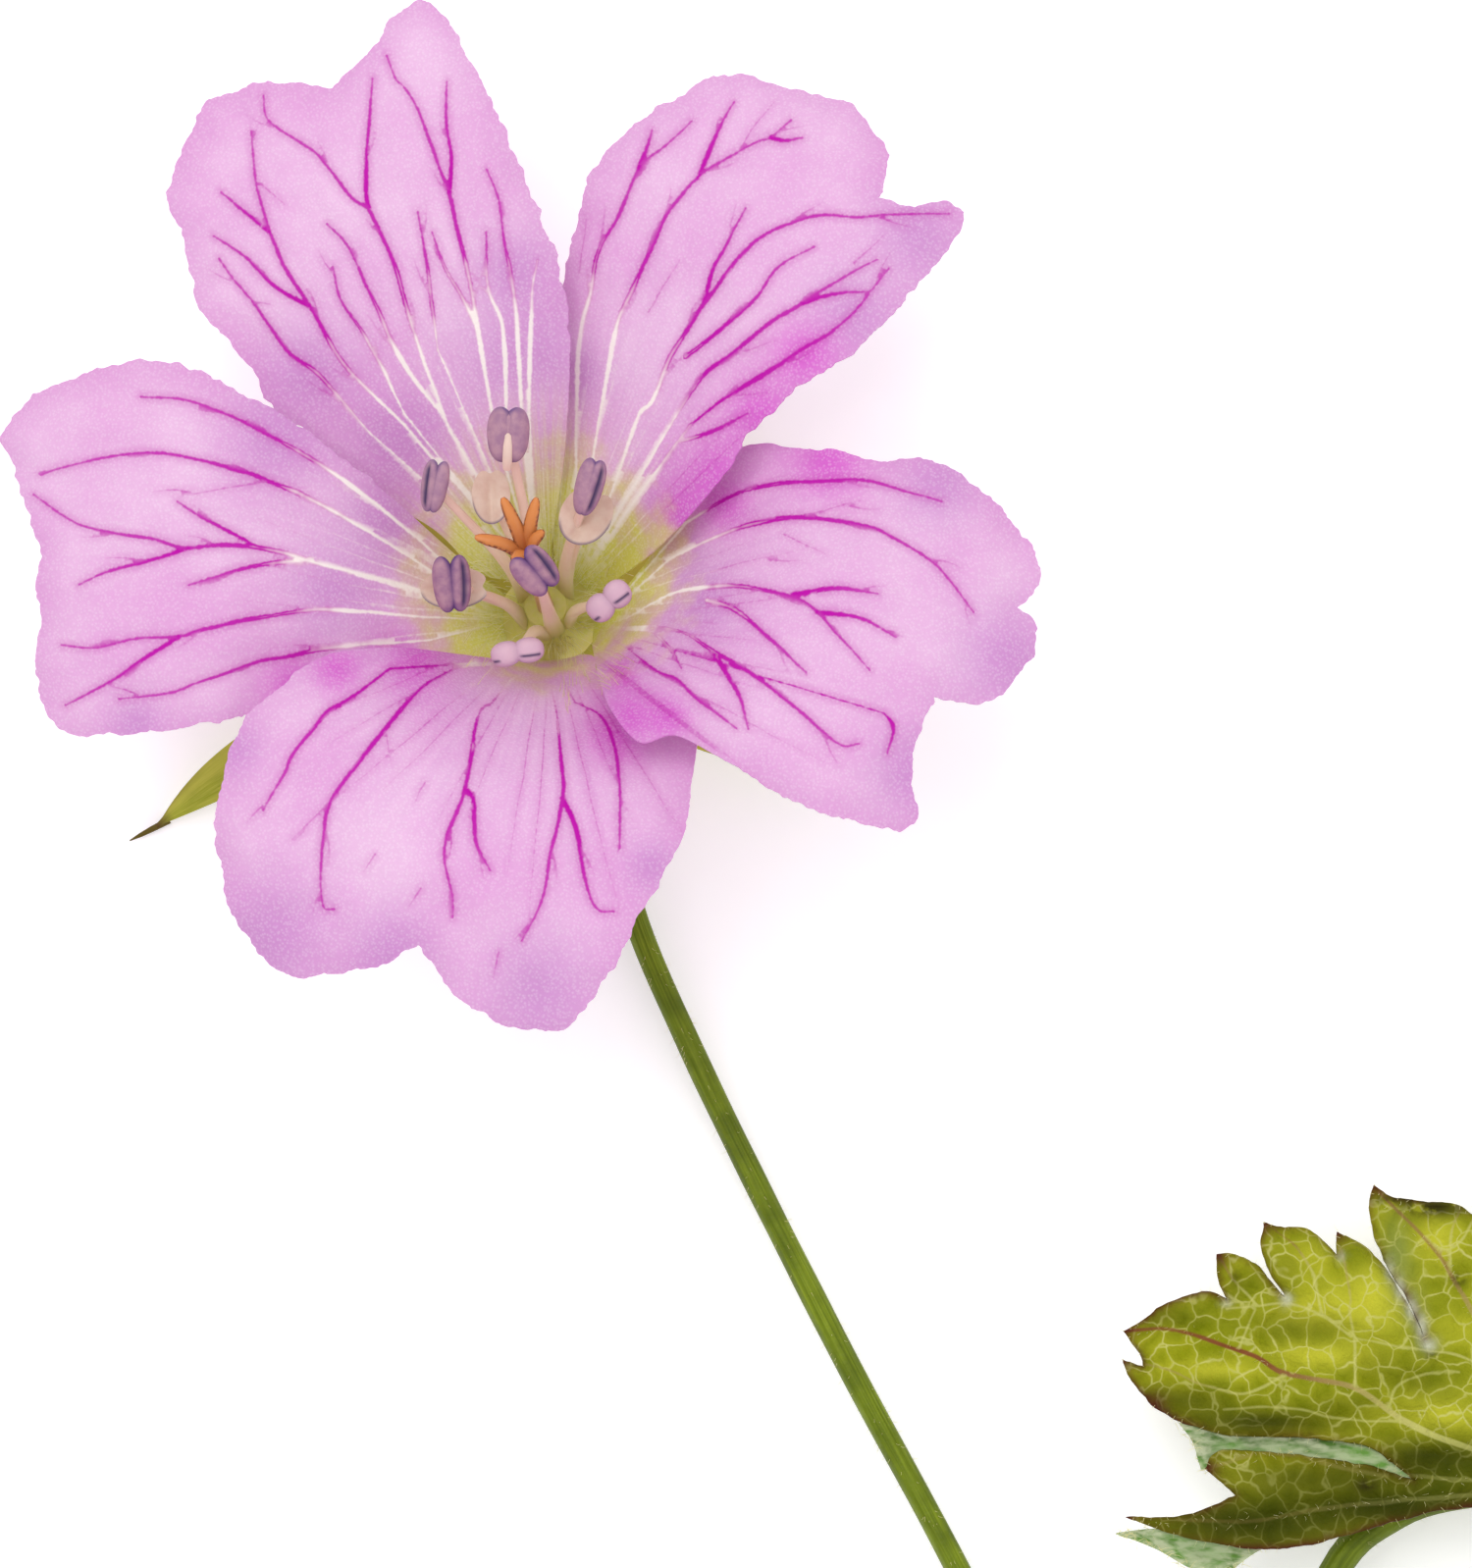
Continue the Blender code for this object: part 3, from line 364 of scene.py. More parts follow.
# The leaf's main veins, from its centre out, how red each one's tip is, and
# how strongly each shows
LEAF_RIBS = [
    ([(36.9, -31.1), (33.0, -30.9), (28.6, -31.2), (24.4, -31.8), (20.5, -31.7)], 0.7, 0.45),
    ([(36.6, -30.6), (32.4, -30.3), (29.0, -30.1), (25.6, -29.4), (23.3, -29.9)], 0.5, 0.40),
    ([(36.9, -30.3), (32.4, -29.2), (30.2, -28.3), (28.4, -27.1), (26.0, -26.6),
      (24.9, -26.0), (22.2, -25.1), (20.3, -25.1)], 1.0, 1.0),
    ([(37.0, -30.2), (34.6, -27.4), (32.2, -23.8), (31.3, -22.3), (29.2, -20.1)], 0.8, 0.8),
    ([(37.2, -30.1), (37.9, -26.6), (39.4, -22.6), (40.7, -18.5)], 0.7, 0.8),
    ([(37.6, -30.3), (41.6, -28.9), (46.4, -26.4), (50.2, -22.9)], 0.7, 0.8),
    ([(37.6, -30.6), (42.0, -31.9), (47.0, -33.0), (51.2, -33.6)], 0.7, 0.8),
]

# The side veins of the lobe that shows best, and how red each one's tip is
LEAF_SIDE_VEINS = [
    ([(26.1, -26.55), (24.66, -27.3), (23.3, -27.1), (22.1, -26.6), (20.4, -26.1)], 0.6),
    ([(28.45, -26.98), (28.4, -25.3), (28.25, -24), (28, -22.6), (27.8, -21.6)], 0.5),
    ([(28.4, -25.3), (27.24, -24.5), (26.3, -24.15), (25, -24.2), (23.9, -24.3)], 0),
    ([(33.2, -26.6), (32.2, -26.1), (30.8, -25.75), (29.6, -25.5), (28.4, -25.3)], 0),
    ([(27.3, -24.5), (26.98, -23.4), (26.4, -22.3), (25.7, -21.6), (25.2, -21.2)], 0.9),
    ([(25, -24.2), (24.6, -23.7), (24.1, -23.2), (23.6, -22.4)], 0.7),
    ([(24.3, -25.8), (24.6, -25), (25, -24.2)], 0),
    ([(29.6, -27.9), (29.9, -27), (30.9, -26.5), (32, -26.6)], 0),
    ([(30.2, -28.3), (27.9, -28.2), (25.6, -27.8), (23.8, -27.9)], 0),
    ([(30.9, -21.8), (31.6, -22.2), (32.2, -21.9), (32.7, -21)], 0),
]

# Areas of the leaf: the middle, the half width and height, the share of the
# other colour. Painted shade and painted light on the flanks, burnt spots,
# greyish painted shade in the felt colour beside a rib, and white places
LEAF_SHADE = [
    (22.3, -27.6, 2.2, 0.6, 0.65), (25.2, -28.35, 3, 0.55, 0.9), (28.4, -27.7, 1.6, 0.5, 0.35),
    (31, -29.6, 2.6, 0.8, 0.9), (26.6, -24.9, 2.2, 0.55, 0.35), (30.7, -26.7, 1.3, 0.7, 0.35),
    (24.4, -31.9, 4.6, 1.3, 0.92), (29.6, -31.3, 4.2, 0.95, 0.92), (34.4, -31.4, 3.4, 0.9, 0.85),
    (26.9, -30.2, 3.6, 0.7, 0.62), (34, -30.2, 2, 1.2, 0.7), (21.8, -24.7, 1.4, 0.5, 0.45),
    (29.2, -26.3, 0.9, 0.8, 0.25), (26, -23, 0.5, 0.8, 0.25), (24.4, -23.4, 0.7, 0.6, 0.3),
    (40, -32.6, 4, 0.7, 0.5), (45, -30.2, 4, 0.7, 0.5), (39.4, -25, 0.9, 3, 0.4),
    (46.8, -27.2, 3, 0.7, 0.4),
]
LEAF_LIGHT = [
    (27.2, -25.9, 1.7, 0.5, 0.75), (23.5, -26.5, 1.5, 0.35, 0.65), (29.1, -24.2, 1.1, 1.3, 0.75),
    (31.4, -28, 1.6, 0.8, 0.65), (27.4, -24.2, 1.6, 0.7, 0.7), (26.7, -22.5, 0.8, 0.6, 0.4),
    (31.4, -21.9, 0.9, 0.9, 0.7), (32.4, -25, 1.2, 0.9, 0.4), (24.8, -30.4, 1.6, 0.3, 0.3),
    (35, -24.6, 1, 2.4, 0.5), (41.6, -27.4, 2, 1.2, 0.5), (45.8, -32.2, 3, 0.8, 0.5),
]
LEAF_BURNT = [
    (31.3, -20.75, 1.3, 0.36, 1), (29.9, -20.45, 0.8, 0.14, 0.9), (32.1, -23.3, 0.28, 0.22, 0.9),
    (28.8, -30.5, 0.4, 0.26, 0.9), (31.1, -26, 0.22, 0.12, 0.7), (24.2, -23.2, 0.16, 0.22, 0.6),
    (40.2, -21.4, 0.8, 0.3, 0.6),
]
LEAF_FLANK_SHADE = [(29.9, -22.6, 0.50, 1.5, 0.65), (30.5, -24.3, 0.35, 0.8, 0.5)]
LEAF_WHITE = [
    (26, -23.95, 0.2, 0.2, 0.95), (31, -25.6, 0.26, 0.22, 0.9), (30.72, -25, 0.17, 0.4, 0.85),
    (30.35, -24.35, 0.17, 0.4, 0.8), (29.95, -23.65, 0.16, 0.4, 0.75), (29.6, -23, 0.15, 0.4, 0.6),
    (27.9, -22.5, 0.14, 0.2, 0.5), (23.9, -24.1, 0.2, 0.14, 0.5),
]

# Turned-down parts of the leaf's margin, and how far below the blade they end
LEAF_TURNS = [
    ([(22.2, -28.35, 1), (22.7, -29.0), (23.0, -30.0, 1), (24.6, -29.9), (28.0, -30.2),
      (31.4, -30.6, 1), (31.0, -29.4), (28.6, -28.9), (24.6, -28.5)],
     0.75),
    ([(20.0, -32.3, 1), (21.4, -32.8), (22.6, -33.5), (23.8, -33.8, 1), (24.8, -33.0),
      (25.8, -32.5, 1), (24.2, -32.3), (22.4, -32.0)], 0.8),
]


def linear(text):
    """An sRGB hex value as the linear colour that a shader takes."""
    parts = [int(text[i:i + 2], 16) / 255.0 for i in (1, 3, 5)]
    return tuple(c / 12.92 if c <= 0.04045 else ((c + 0.055) / 1.055) ** 2.4 for c in parts)


def colour_setting(name, text, description):
    """A colour that the panel shows, from its sRGB hex value."""
    return bpy.props.FloatVectorProperty(
        name=name, description=description, subtype="COLOR", size=3, min=0.0, max=1.0,
        default=linear(text))


def size_setting(name, millimetres, description):
    """A length that the panel shows, from its size in millimetres."""
    return bpy.props.FloatProperty(
        name=name, description=description, unit="LENGTH", precision=5, min=0.0,
        default=millimetres * MM)


# Curves and areas in plan

def run_of(points, step):
    """A smooth open line through the points, read at about the given step."""
    run = [np.array(p[:3], float) for p in points]
    run = [2.0 * run[0] - run[1]] + run + [2.0 * run[-1] - run[-2]]
    line = []
    for before, start, end, after in zip(run, run[1:], run[2:], run[3:]):
        pieces = max(1, round(float(np.linalg.norm(end - start)) / step))
        for t in np.arange(pieces) / pieces:
            line.append(0.5 * (
                2.0 * start + (end - before) * t
                + (2.0 * before - 5.0 * start + 4.0 * end - after) * t ** 2
                + (3.0 * start - before - 3.0 * end + after) * t ** 3))
    line.append(run[-2])
    return np.array(line)


def outline_of(points, step):
    """The closed outline through the points, with curves between corners."""
    count = len(points)
    corners = [i for i, point in enumerate(points) if len(point) == 3]
    parts = []
    for first, last in zip(corners, corners[1:] + [corners[0] + count]):
        line = [points[i % count][:2] for i in range(first, last + 1)]
        parts.append(run_of(line, step)[:-1])
    outline = np.vstack(parts)
    return outline if area_of(outline) > 0.0 else outline[::-1]


def area_of(outline):
    """The signed area inside an outline."""
    x, y = outline[:, 0], outline[:, 1]
    return float((x * np.roll(y, -1) - np.roll(x, -1) * y).sum()) / 2.0


def inside(points, outline):
    """Which of the points lie inside the outline."""
    ax, ay = outline[:, 0], outline[:, 1]
    bx, by = np.roll(ax, -1), np.roll(ay, -1)
    rise = np.where(by == ay, 1.0, by - ay)
    found = []
    for part in np.array_split(points, max(1, len(points) // 2000)):
        x, y = part[:, 0][:, None], part[:, 1][:, None]
        crosses = (ay > y) != (by > y)
        found.append((crosses & (x < (bx - ax) * (y - ay) / rise + ax)).sum(axis=1) % 2 == 1)
    return np.concatenate(found)


def tree_of(points):
    """A search tree over plan points."""
    tree = KDTree(len(points))
    for i, point in enumerate(points):
        tree.insert((point[0], point[1], 0.0), i)
    tree.balance()
    return tree


def nearest(tree, points):
    """The distance to the nearest point of the tree, and its number."""
    found = [tree.find((x, y, 0.0)) for x, y in points[:, :2]]
    return np.array([f[2] for f in found]), np.array([f[1] for f in found])


def fade(value, low, high):
    """0 at low, 1 at high, smooth between them."""
    t = np.clip((value - low) / (high - low), 0.0, 1.0)
    return t * t * (3.0 - 2.0 * t)


def wander(x, y, scale, seed):
    """A smooth random field over the plan, from -1 to 1."""
    return np.array([noise.noise((a * scale, b * scale, seed)) for a, b in zip(x, y)])


def soft_areas(x, y, areas):
    """How deep the plan points lie in areas with soft edges, from 0 to 1."""
    soft = np.zeros(len(x))
    for cx, cy, wide, tall, share in areas:
        blob = np.exp(-((x - cx) / wide) ** 2 - ((y - cy) / tall) ** 2)
        soft = 1.0 - (1.0 - soft) * (1.0 - share * blob)
    return soft


def thinned(settings, rim):
    """A blade's thickness at its points: thin at the rim, full further in."""
    thin = settings.edge_thickness / MM
    return thin + (settings.thickness / MM - thin) * (1.0 - np.exp(-rim / RIM_FALL))


def drawn(draw, *ranges):
    """A vector with each part drawn from its own range."""
    return Vector([draw.uniform(low, high) for low, high in ranges])


def scalloped(outline, depth, centre, calm, seed):
    """The outline with a small uneven waviness, which fades near a centre."""
    ahead = np.roll(outline, -1, axis=0) - np.roll(outline, 1, axis=0)
    ahead /= np.maximum(np.linalg.norm(ahead, axis=1), 1e-9)[:, None]
    outward = np.stack([ahead[:, 1], -ahead[:, 0]], axis=1)
    x, y = outline[:, 0], outline[:, 1]
    wave = (0.9 * wander(x, y, 1.2, seed) + 0.6 * wander(x, y, 2.9, seed + 7.0)
            + 0.3 * wander(x, y, 6.3, seed + 3.0))
    away = np.hypot(x - centre[0], y - centre[1])
    return outline + outward * (depth * wave * fade(away, calm, calm * 1.6))[:, None]


def tucked(petal, outline, reach):
    """The outline with its claw widened beneath the next petal's edge."""
    x, y = outline[:, 0], outline[:, 1]
    lateral, out = side_of(petal, x, y), np.hypot(x, y)
    share = fade(-lateral, 0.2, 0.9) * fade(out, 1.3, 1.9) * (1.0 - fade(out, 8.5, 11.5))
    turned = np.stack([-y, x], axis=1) / out[:, None]
    return outline + turned * (reach * share)[:, None]


def rows_along(lines, step):
    """Points along each line, then points to both sides of each."""
    middles, flanks = [], []
    for line in lines:
        long = np.concatenate([[0.0], np.cumsum(np.linalg.norm(np.diff(line, axis=0), axis=1))])
        at = np.linspace(0.0, long[-1], max(2, round(long[-1] / step)))
        row = np.stack([np.interp(at, long, line[:, i]) for i in (0, 1)], axis=1)
        ahead = np.gradient(row, axis=0)
        ahead /= np.maximum(np.linalg.norm(ahead, axis=1), 1e-9)[:, None]
        beside = np.stack([-ahead[:, 1], ahead[:, 0]], axis=1) * step
        middles.append(row)
        flanks += [row + beside, row - beside]
    return middles + flanks


def plan_mesh(outline, lines, step):
    """Plan points and triangles inside an outline, with rows along lines."""
    gap = 0.62 * step
    taken = {}

    def free(x, y):
        column, row = int(x // gap), int(y // gap)
        for i in (column - 1, column, column + 1):
            for j in (row - 1, row, row + 1):
                for a, b in taken.get((i, j), ()):
                    if (a - x) ** 2 + (b - y) ** 2 < gap * gap:
                        return False
        taken.setdefault((column, row), []).append((x, y))
        return True

    for x, y in outline:
        taken.setdefault((int(x // gap), int(y // gap)), []).append((x, y))
    low, high = outline.min(axis=0), outline.max(axis=0)
    grid = []
    for row, y in enumerate(np.arange(low[1], high[1], step * math.sqrt(3.0) / 2.0)):
        shift = step / 2.0 if row % 2 else 0.0
        grid += [(x + shift, y) for x in np.arange(low[0], high[0], step)]
    wanted = np.vstack(rows_along(lines, 0.75 * step) + [np.array(grid)])
    wanted = wanted[inside(wanted, outline)]
    kept = [(x, y) for x, y in wanted if free(x, y)]
    flat = [Vector(p) for p in outline] + [Vector(p) for p in kept]
    rim = list(range(len(outline)))
    flat, _, triangles, _, _, _ = delaunay_2d_cdt(flat, [], [rim], 1, 1e-6)
    return np.array([tuple(p) for p in flat]), [tuple(t) for t in triangles]


class Veins:
    """Vein lines in plan, with the half width and strength at each point."""

    def __init__(self):
        self.lines, self.halves, self.strengths, self.reds = [], [], [], []

    def lay(self, points, halves, strengths, wobble, seed, red=0.0):
        """Adds a vein through the points, from its root to its tip."""
        line = run_of(points, 0.05)
        t = np.linspace(0.0, 1.0, len(line))
        x, y = line[:, 0], line[:, 1]
        shift = np.stack([wander(x, y, 0.8, seed), wander(x, y, 0.8, seed + 6.0)], axis=1)
        line = line + wobble * shift * np.sin(math.pi * t)[:, None]
        half = halves[0] + (halves[1] - halves[0]) * t ** 1.5
        self.lines.append(line)
        self.halves.append(half * (1.0 + 0.22 * wander(x, y, 1.0, 5.0)))
        self.strengths.append(strengths[0] + (strengths[1] - strengths[0]) * t ** 2)
        self.reds.append(red * fade(t, 0.30, 0.75))
        return line

    def measure(self, plan, reach):
        """The gap to the nearest vein's side, its strength and its redness."""
        places = np.vstack(self.lines)
        halves, strengths = np.concatenate(self.halves), np.concatenate(self.strengths)
        reds = np.concatenate(self.reds)
        tree = tree_of(places)
        found = []
        for x, y in plan:
            best = (reach, 0.5, 0.0)
            for _, i, away in tree.find_range((x, y, 0.0), reach):
                if away - halves[i] < best[0]:
                    best = (away - halves[i], strengths[i], reds[i])
            found.append(best)
        return np.array(found).T


# Meshes

class Shells:
    """Closed shells gathered into one mesh, with numbers at their points."""

    def __init__(self, *names):
        self.points, self.faces, self.slots = [], [], []
        self.numbers = {name: [] for name in names}

    def add(self, points, faces, slot=0, **numbers):
        """Adds a shell, with one number for all its points or one for each."""
        start = len(self.points)
        self.points += [tuple(float(v) for v in p) for p in points]
        self.faces += [tuple(start + i for i in face) for face in faces]
        self.slots += [slot] * len(faces)
        for name, held in self.numbers.items():
            value = numbers.get(name, 0.0)
            held += [float(v) for v in value] if hasattr(value, "__len__") else (
                [float(value)] * len(points))

    def add_blade(self, middle, half, faces, slot=0, **numbers):
        """Adds a blade, with the same numbers on its two sides."""
        self.add(np.vstack([middle + half, middle - half]), faces, slot,
                 **{key: np.tile(value, 2) for key, value in numbers.items()})

    def add_hair(self, root, tip, bend, radius):
        """Adds a thin tapering hair, bent once."""
        radii = [radius, radius * 0.7, radius * 0.12]
        self.add(*tube_shell([root, root.lerp(tip, 0.5) + bend, tip], radii, radii, 3))

    def build(self, name, materials, node, stands_for=True):
        """The object, placed on the frame for its CAD node."""
        mesh = bpy.data.meshes.new(name)
        mesh.from_pydata([((x + FLOWER_X) * MM, (y + FLOWER_Y) * MM, z * MM)
                          for x, y, z in self.points], [], self.faces)
        mesh.update()
        for material in materials:
            mesh.materials.append(material)
        mesh.polygons.foreach_set("material_index", self.slots)
        mesh.shade_smooth()
        mesh.set_sharp_from_angle(angle=math.radians(50.0))
        for key, values in self.numbers.items():
            mesh.attributes.new(key, "FLOAT", "POINT").data.foreach_set("value", values)
        obj = bpy.data.objects.new(name, mesh)
        bpy.context.scene.collection.objects.link(obj)
        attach(obj, "root")
        if stands_for:
            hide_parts(node)
        return obj


def sheet_shell(plan, triangles, height, thickness):
    """The points and faces of a thin closed blade over a plan mesh."""
    x, y = plan[:, 0], plan[:, 1]
    small = 0.02
    z = height(x, y)
    slope_x = (height(x + small, y) - height(x - small, y)) / (2.0 * small)
    slope_y = (height(x, y + small) - height(x, y - small)) / (2.0 * small)
    normal = np.stack([-slope_x, -slope_y, np.ones_like(z)], axis=1)
    normal /= np.linalg.norm(normal, axis=1)[:, None]
    middle = np.stack([x, y, z], axis=1)
    half = normal * (thickness / 2.0)[:, None]
    count = len(plan)
    used = set()
    for a, b, c in triangles:
        used.update(((a, b), (b, c), (c, a)))
    faces = list(triangles)
    faces += [tuple(count + i for i in reversed(t)) for t in triangles]
    for a, b in used:
        if (b, a) not in used:
            faces += [(b, a, count + a), (b, count + a, count + b)]
    return middle, normal, half, faces


def tube_shell(path, widths, heights, sides, up=None, groove=None):
    """The points and faces of a closed tube with an oval section."""
    path = [Vector(p) for p in path]
    side = up
    points = []
    for k, centre in enumerate(path):
        along = (path[min(k + 1, len(path) - 1)] - path[max(k - 1, 0)]).normalized()
        if side is None:
            side = along.orthogonal().normalized()
        side = (side - along * side.dot(along)).normalized()
        across = along.cross(side)
        for i in range(sides):
            turn = math.tau * i / sides
            swell = 1.0 if groove is None else groove(k, turn)
            points.append(centre + (across * math.cos(turn) * widths[k]
                                    + side * math.sin(turn) * heights[k]) * swell)
    faces = []
    for k in range(len(path) - 1):
        for i in range(sides):
            j = (i + 1) % sides
            a, b = k * sides + i, k * sides + j
            faces.append((a, a + sides, b + sides, b))
    first, last = len(points), len(points) + 1
    points += [path[0], path[-1]]
    end = (len(path) - 1) * sides
    for i in range(sides):
        j = (i + 1) % sides
        faces += [(first, i, j), (last, end + j, end + i)]
    return points, faces


# The flower's own axes

def flower_turn():
    """The turn from the flower's own axes to the sprig's."""
    right = Vector((0.0, 1.0, 0.0)).cross(FLOWER_AXIS).normalized()
    up = FLOWER_AXIS.cross(right).normalized()
    return Matrix((right, up, FLOWER_AXIS)).transposed()


TURN = flower_turn()


def in_flower(u, v, h):
    """A point given beside and along the flower's axis."""
    return Vector((0.0, 0.0, FLOWER_Z)) + TURN @ Vector((u, v, h))


def over_plan(x, y, h):
    """The point over a place in plan that is h along the flower's axis."""
    turn = np.array(TURN)
    u, v = np.linalg.inv(turn[:2, :2]) @ np.array([x - turn[0, 2] * h, y - turn[1, 2] * h])
    return in_flower(u, v, h)


def side_of(petal, x, y):
    """How far to the side of a petal plan points lie, from -1 to 1."""
    start, end = petal["bearings"]
    middle = (start + end) / 2.0
    bearing = middle + (np.degrees(np.arctan2(y, x)) - middle + 180.0) % 360.0 - 180.0
    return 2.0 * (start - bearing) / (start - end) - 1.0


def petal_field(petal, x, y):
    """Over plan points: height, distance from the axis and side of the petal."""
    turn = np.array(TURN)
    plan_inverse = np.linalg.inv(turn[:2, :2])
    lateral = side_of(petal, x, y)
    arch = PETAL_ARCH * np.clip(lateral, -1.0, 1.0) ** 2
    h = np.full_like(x, FUNNEL_DEPTH / 2.0)
    for _ in range(HEIGHT_ROUNDS):
        u, v = plan_inverse @ np.stack([x - turn[0, 2] * h, y - turn[1, 2] * h])
        out = np.hypot(u, v)
        spread = 1.0 - np.exp(-np.maximum(out - CLAW_RADIUS, 0.0) / FUNNEL_REACH)
        beyond = np.maximum(out - petal["reflex_from"], 0.0)
        beyond = beyond / (PETAL_REACH - petal["reflex_from"])
        near = np.clip((out - CLAW_RADIUS) / CLAW_LENGTH, 0.0, 1.0)
        aim = (CLAW_HEIGHT + FUNNEL_DEPTH * spread - petal["reflex"] * beyond ** 2
               + (PETAL_OVERLAP_LIFT * lateral - arch) * near)
        h = (h + aim) / 2.0
    return FLOWER_Z + turn[2, 0] * u + turn[2, 1] * v + turn[2, 2] * h, out, lateral


def leaf_height(x, y):
    """The leaf blade: pleated along its main veins, and drooping."""
    dx, dy = x - LEAF_CENTRE[0], y - LEAF_CENTRE[1]
    out = np.hypot(dx, dy)
    bearing = np.degrees(np.arctan2(dy, dx))
    away = np.full_like(out, 180.0)
    for fold in LEAF_FOLDS:
        away = np.minimum(away, np.abs((bearing - fold + 180.0) % 360.0 - 180.0))
    pleat = 1.0 - np.cos(math.pi * np.clip(away / PLEAT_SPAN, 0.0, 1.0))
    lift = LEAF_PLEAT * out * pleat * np.exp(-out / PLEAT_FADE)
    droop = LEAF_DROOP * (out / LEAF_REACH) ** 2
    return LEAF_HEIGHT + lift - droop - LEAF_SLOPE * dx


def leaf_height_at(x, y):
    """The height of the leaf blade over one place in plan."""
    return float(leaf_height(np.array([x]), np.array([y]))[0])


# Veins

def petal_veins(petal, outline, draw, width):
    """The veins of a petal: main routes, short twigs and thin basal lines."""
    claw = (np.array(petal["outline"][0][:2]) + np.array(petal["outline"][-1][:2])) / 2.0
    rim_tree = tree_of(outline)
    pale = petal["pale_to"]
    veins = Veins()

    def lay(points, halves, strengths, wobble=0.05):
        line = veins.lay(points, halves, strengths, wobble, 3.0)
        out = np.hypot(line[:, 0], line[:, 1])
        veins.halves[-1] *= np.clip(out / 6.0, 0.5, 1.0)
        veins.strengths[-1] *= fade(out, 1.8, 3.6)
        return line

    for route in petal["veins"]:
        first = np.array(route[0])
        branch = any(np.hypot(*(first - np.array(point))) < 0.7
                     for other in petal["veins"] if other is not route for point in other[1:])
        near = float(np.hypot(*(first - claw))) < 7.2
        whole = len(route) > 2
        if not branch and whole:
            steps = [claw + (first - claw) * t for t in (0.15, 0.55)]
            lay([*steps, route[0]],
                (width * (0.58 if near else 0.25), width * (0.48 if near else 0.32)), (1.0, 1.0))
        line = lay(route, (width * (0.88 if whole and near else 0.75 if whole else 0.30),
                            width * (0.34 if whole else 0.15)),
                   (1.0, 0.8) if whole else (0.55, 0.3))
        if not branch and whole:
            rise = fade(np.linspace(0.0, 1.0, len(line)), 0.0, 0.35)
            veins.halves[-1] *= (0.55 if near else 0.42) + (0.45 if near else 0.58) * rise
        gone, due, side = 0.0, draw.uniform(1.0, 2.4), draw.choice((-1, 1))
        for k in range(4, len(line) - 6):
            gone += float(np.linalg.norm(line[k] - line[k - 1]))
            x, y = line[k]
            pale_to = pale[0] + (pale[1] - pale[0]) * (side_of(petal, x, y) + 1.0) / 2.0
            if gone < due or np.hypot(x, y) < max(8.0, pale_to - 0.5):
                continue
            due = gone + draw.uniform(1.9, 4.2)
            side = -side
            along = line[k + 3] - line[k - 3]
            heading = math.atan2(along[1], along[0]) + side * math.radians(draw.uniform(20, 36))
            reach = draw.uniform(0.5, 1.5)
            twig = [line[k]]
            for part in (0.5, 1.0):
                bend = heading - side * math.radians(12.0) * part
                twig.append(line[k] + reach * part * np.array([math.cos(bend), math.sin(bend)]))
            away, _ = nearest(rim_tree, np.array([twig[-1]]))
            if away[0] < 0.5 or not inside(np.array([twig[-1]]), outline)[0]:
                continue
            lay(twig, (width * 0.34, width * 0.12), (draw.uniform(0.4, 0.85), 0.2))

    # Thin pale lines that fan out from the claw between the main veins
    start, end = petal["bearings"]
    tips = 11
    for k in range(tips):
        share = (k + 0.5 + draw.uniform(-0.3, 0.3)) / tips
        bearing = math.radians(start + (end - start) * (0.05 + 0.90 * share))
        bow = draw.uniform(-0.05, 0.05)
        points = []
        for out in (2.2, 4.0, 6.5, draw.uniform(7.5, 11.0)):
            turn = bearing + bow * out / 8.0
            points.append((out * math.cos(turn), out * math.sin(turn)))
        lay(points, (width * 0.26, width * 0.10), (0.7, 0.15))
    return veins


def leaf_veins(width):
    """The leaf's ribs, the veins to its teeth and short cross veins."""
    veins = Veins()
    ribs = [veins.lay(points, (width * (0.5 + 0.5 * weight), width * 0.45),
                      (0.95 * weight, 0.95 * weight), 0.08, 13.0, red)
            for points, red, weight in LEAF_RIBS]
    sides = [veins.lay(points, (width * 0.40, width * 0.26), (0.62, 0.5), 0.10, 13.0, red)
             for points, red in LEAF_SIDE_VEINS]
    tips = []
    corners = [i for i, p in enumerate(LEAF_OUTLINE) if len(p) == 3]
    whole = np.array([p[:2] for p in LEAF_OUTLINE])
    for i in corners:
        before, here, after = whole[i - 1], whole[i], whole[(i + 1) % len(whole)]
        turn = ((here - before)[0] * (after - here)[1] - (here - before)[1] * (after - here)[0])
        if turn * area_of(whole) > 0.0:
            tips.append(here)
    for tip in tips:
        best = None
        for rib in ribs:
            if min(np.linalg.norm(line[-1] - tip) for line in ribs + sides) < 1.0:
                break
            for k in range(6, len(rib) - 6, 4):
                way = tip - rib[k]
                along = rib[k + 3] - rib[k - 3]
                away = float(np.linalg.norm(way))
                cosine = float(way @ along) / max(away * float(np.linalg.norm(along)), 1e-9)
                score = away + 14.0 * abs(cosine - 0.72)
                if away > 0.8 and (best is None or score < best[0]):
                    best = (score, rib[k], along / np.linalg.norm(along))
        if best is None:
            continue
        _, start, along = best
        way = tip - start
        middle = start + way * 0.5 + np.array([way[1], -way[0]]) * 0.12 * (
            1.0 if way[0] * along[1] - way[1] * along[0] < 0.0 else -1.0)
        veins.lay([start, middle, tip], (width * 0.38, width * 0.20), (0.6, 0.5), 0.10, 13.0,
                  0.5)
    return veins, np.array(tips)


# Materials

TIMES = {"operation": "MULTIPLY"}
SMOOTH = {"interpolation_type": "SMOOTHSTEP"}


def scale_of(millimetres):
    """The scale of a pattern whose features are really this far apart."""
    return 1.0 / (millimetres * MM)


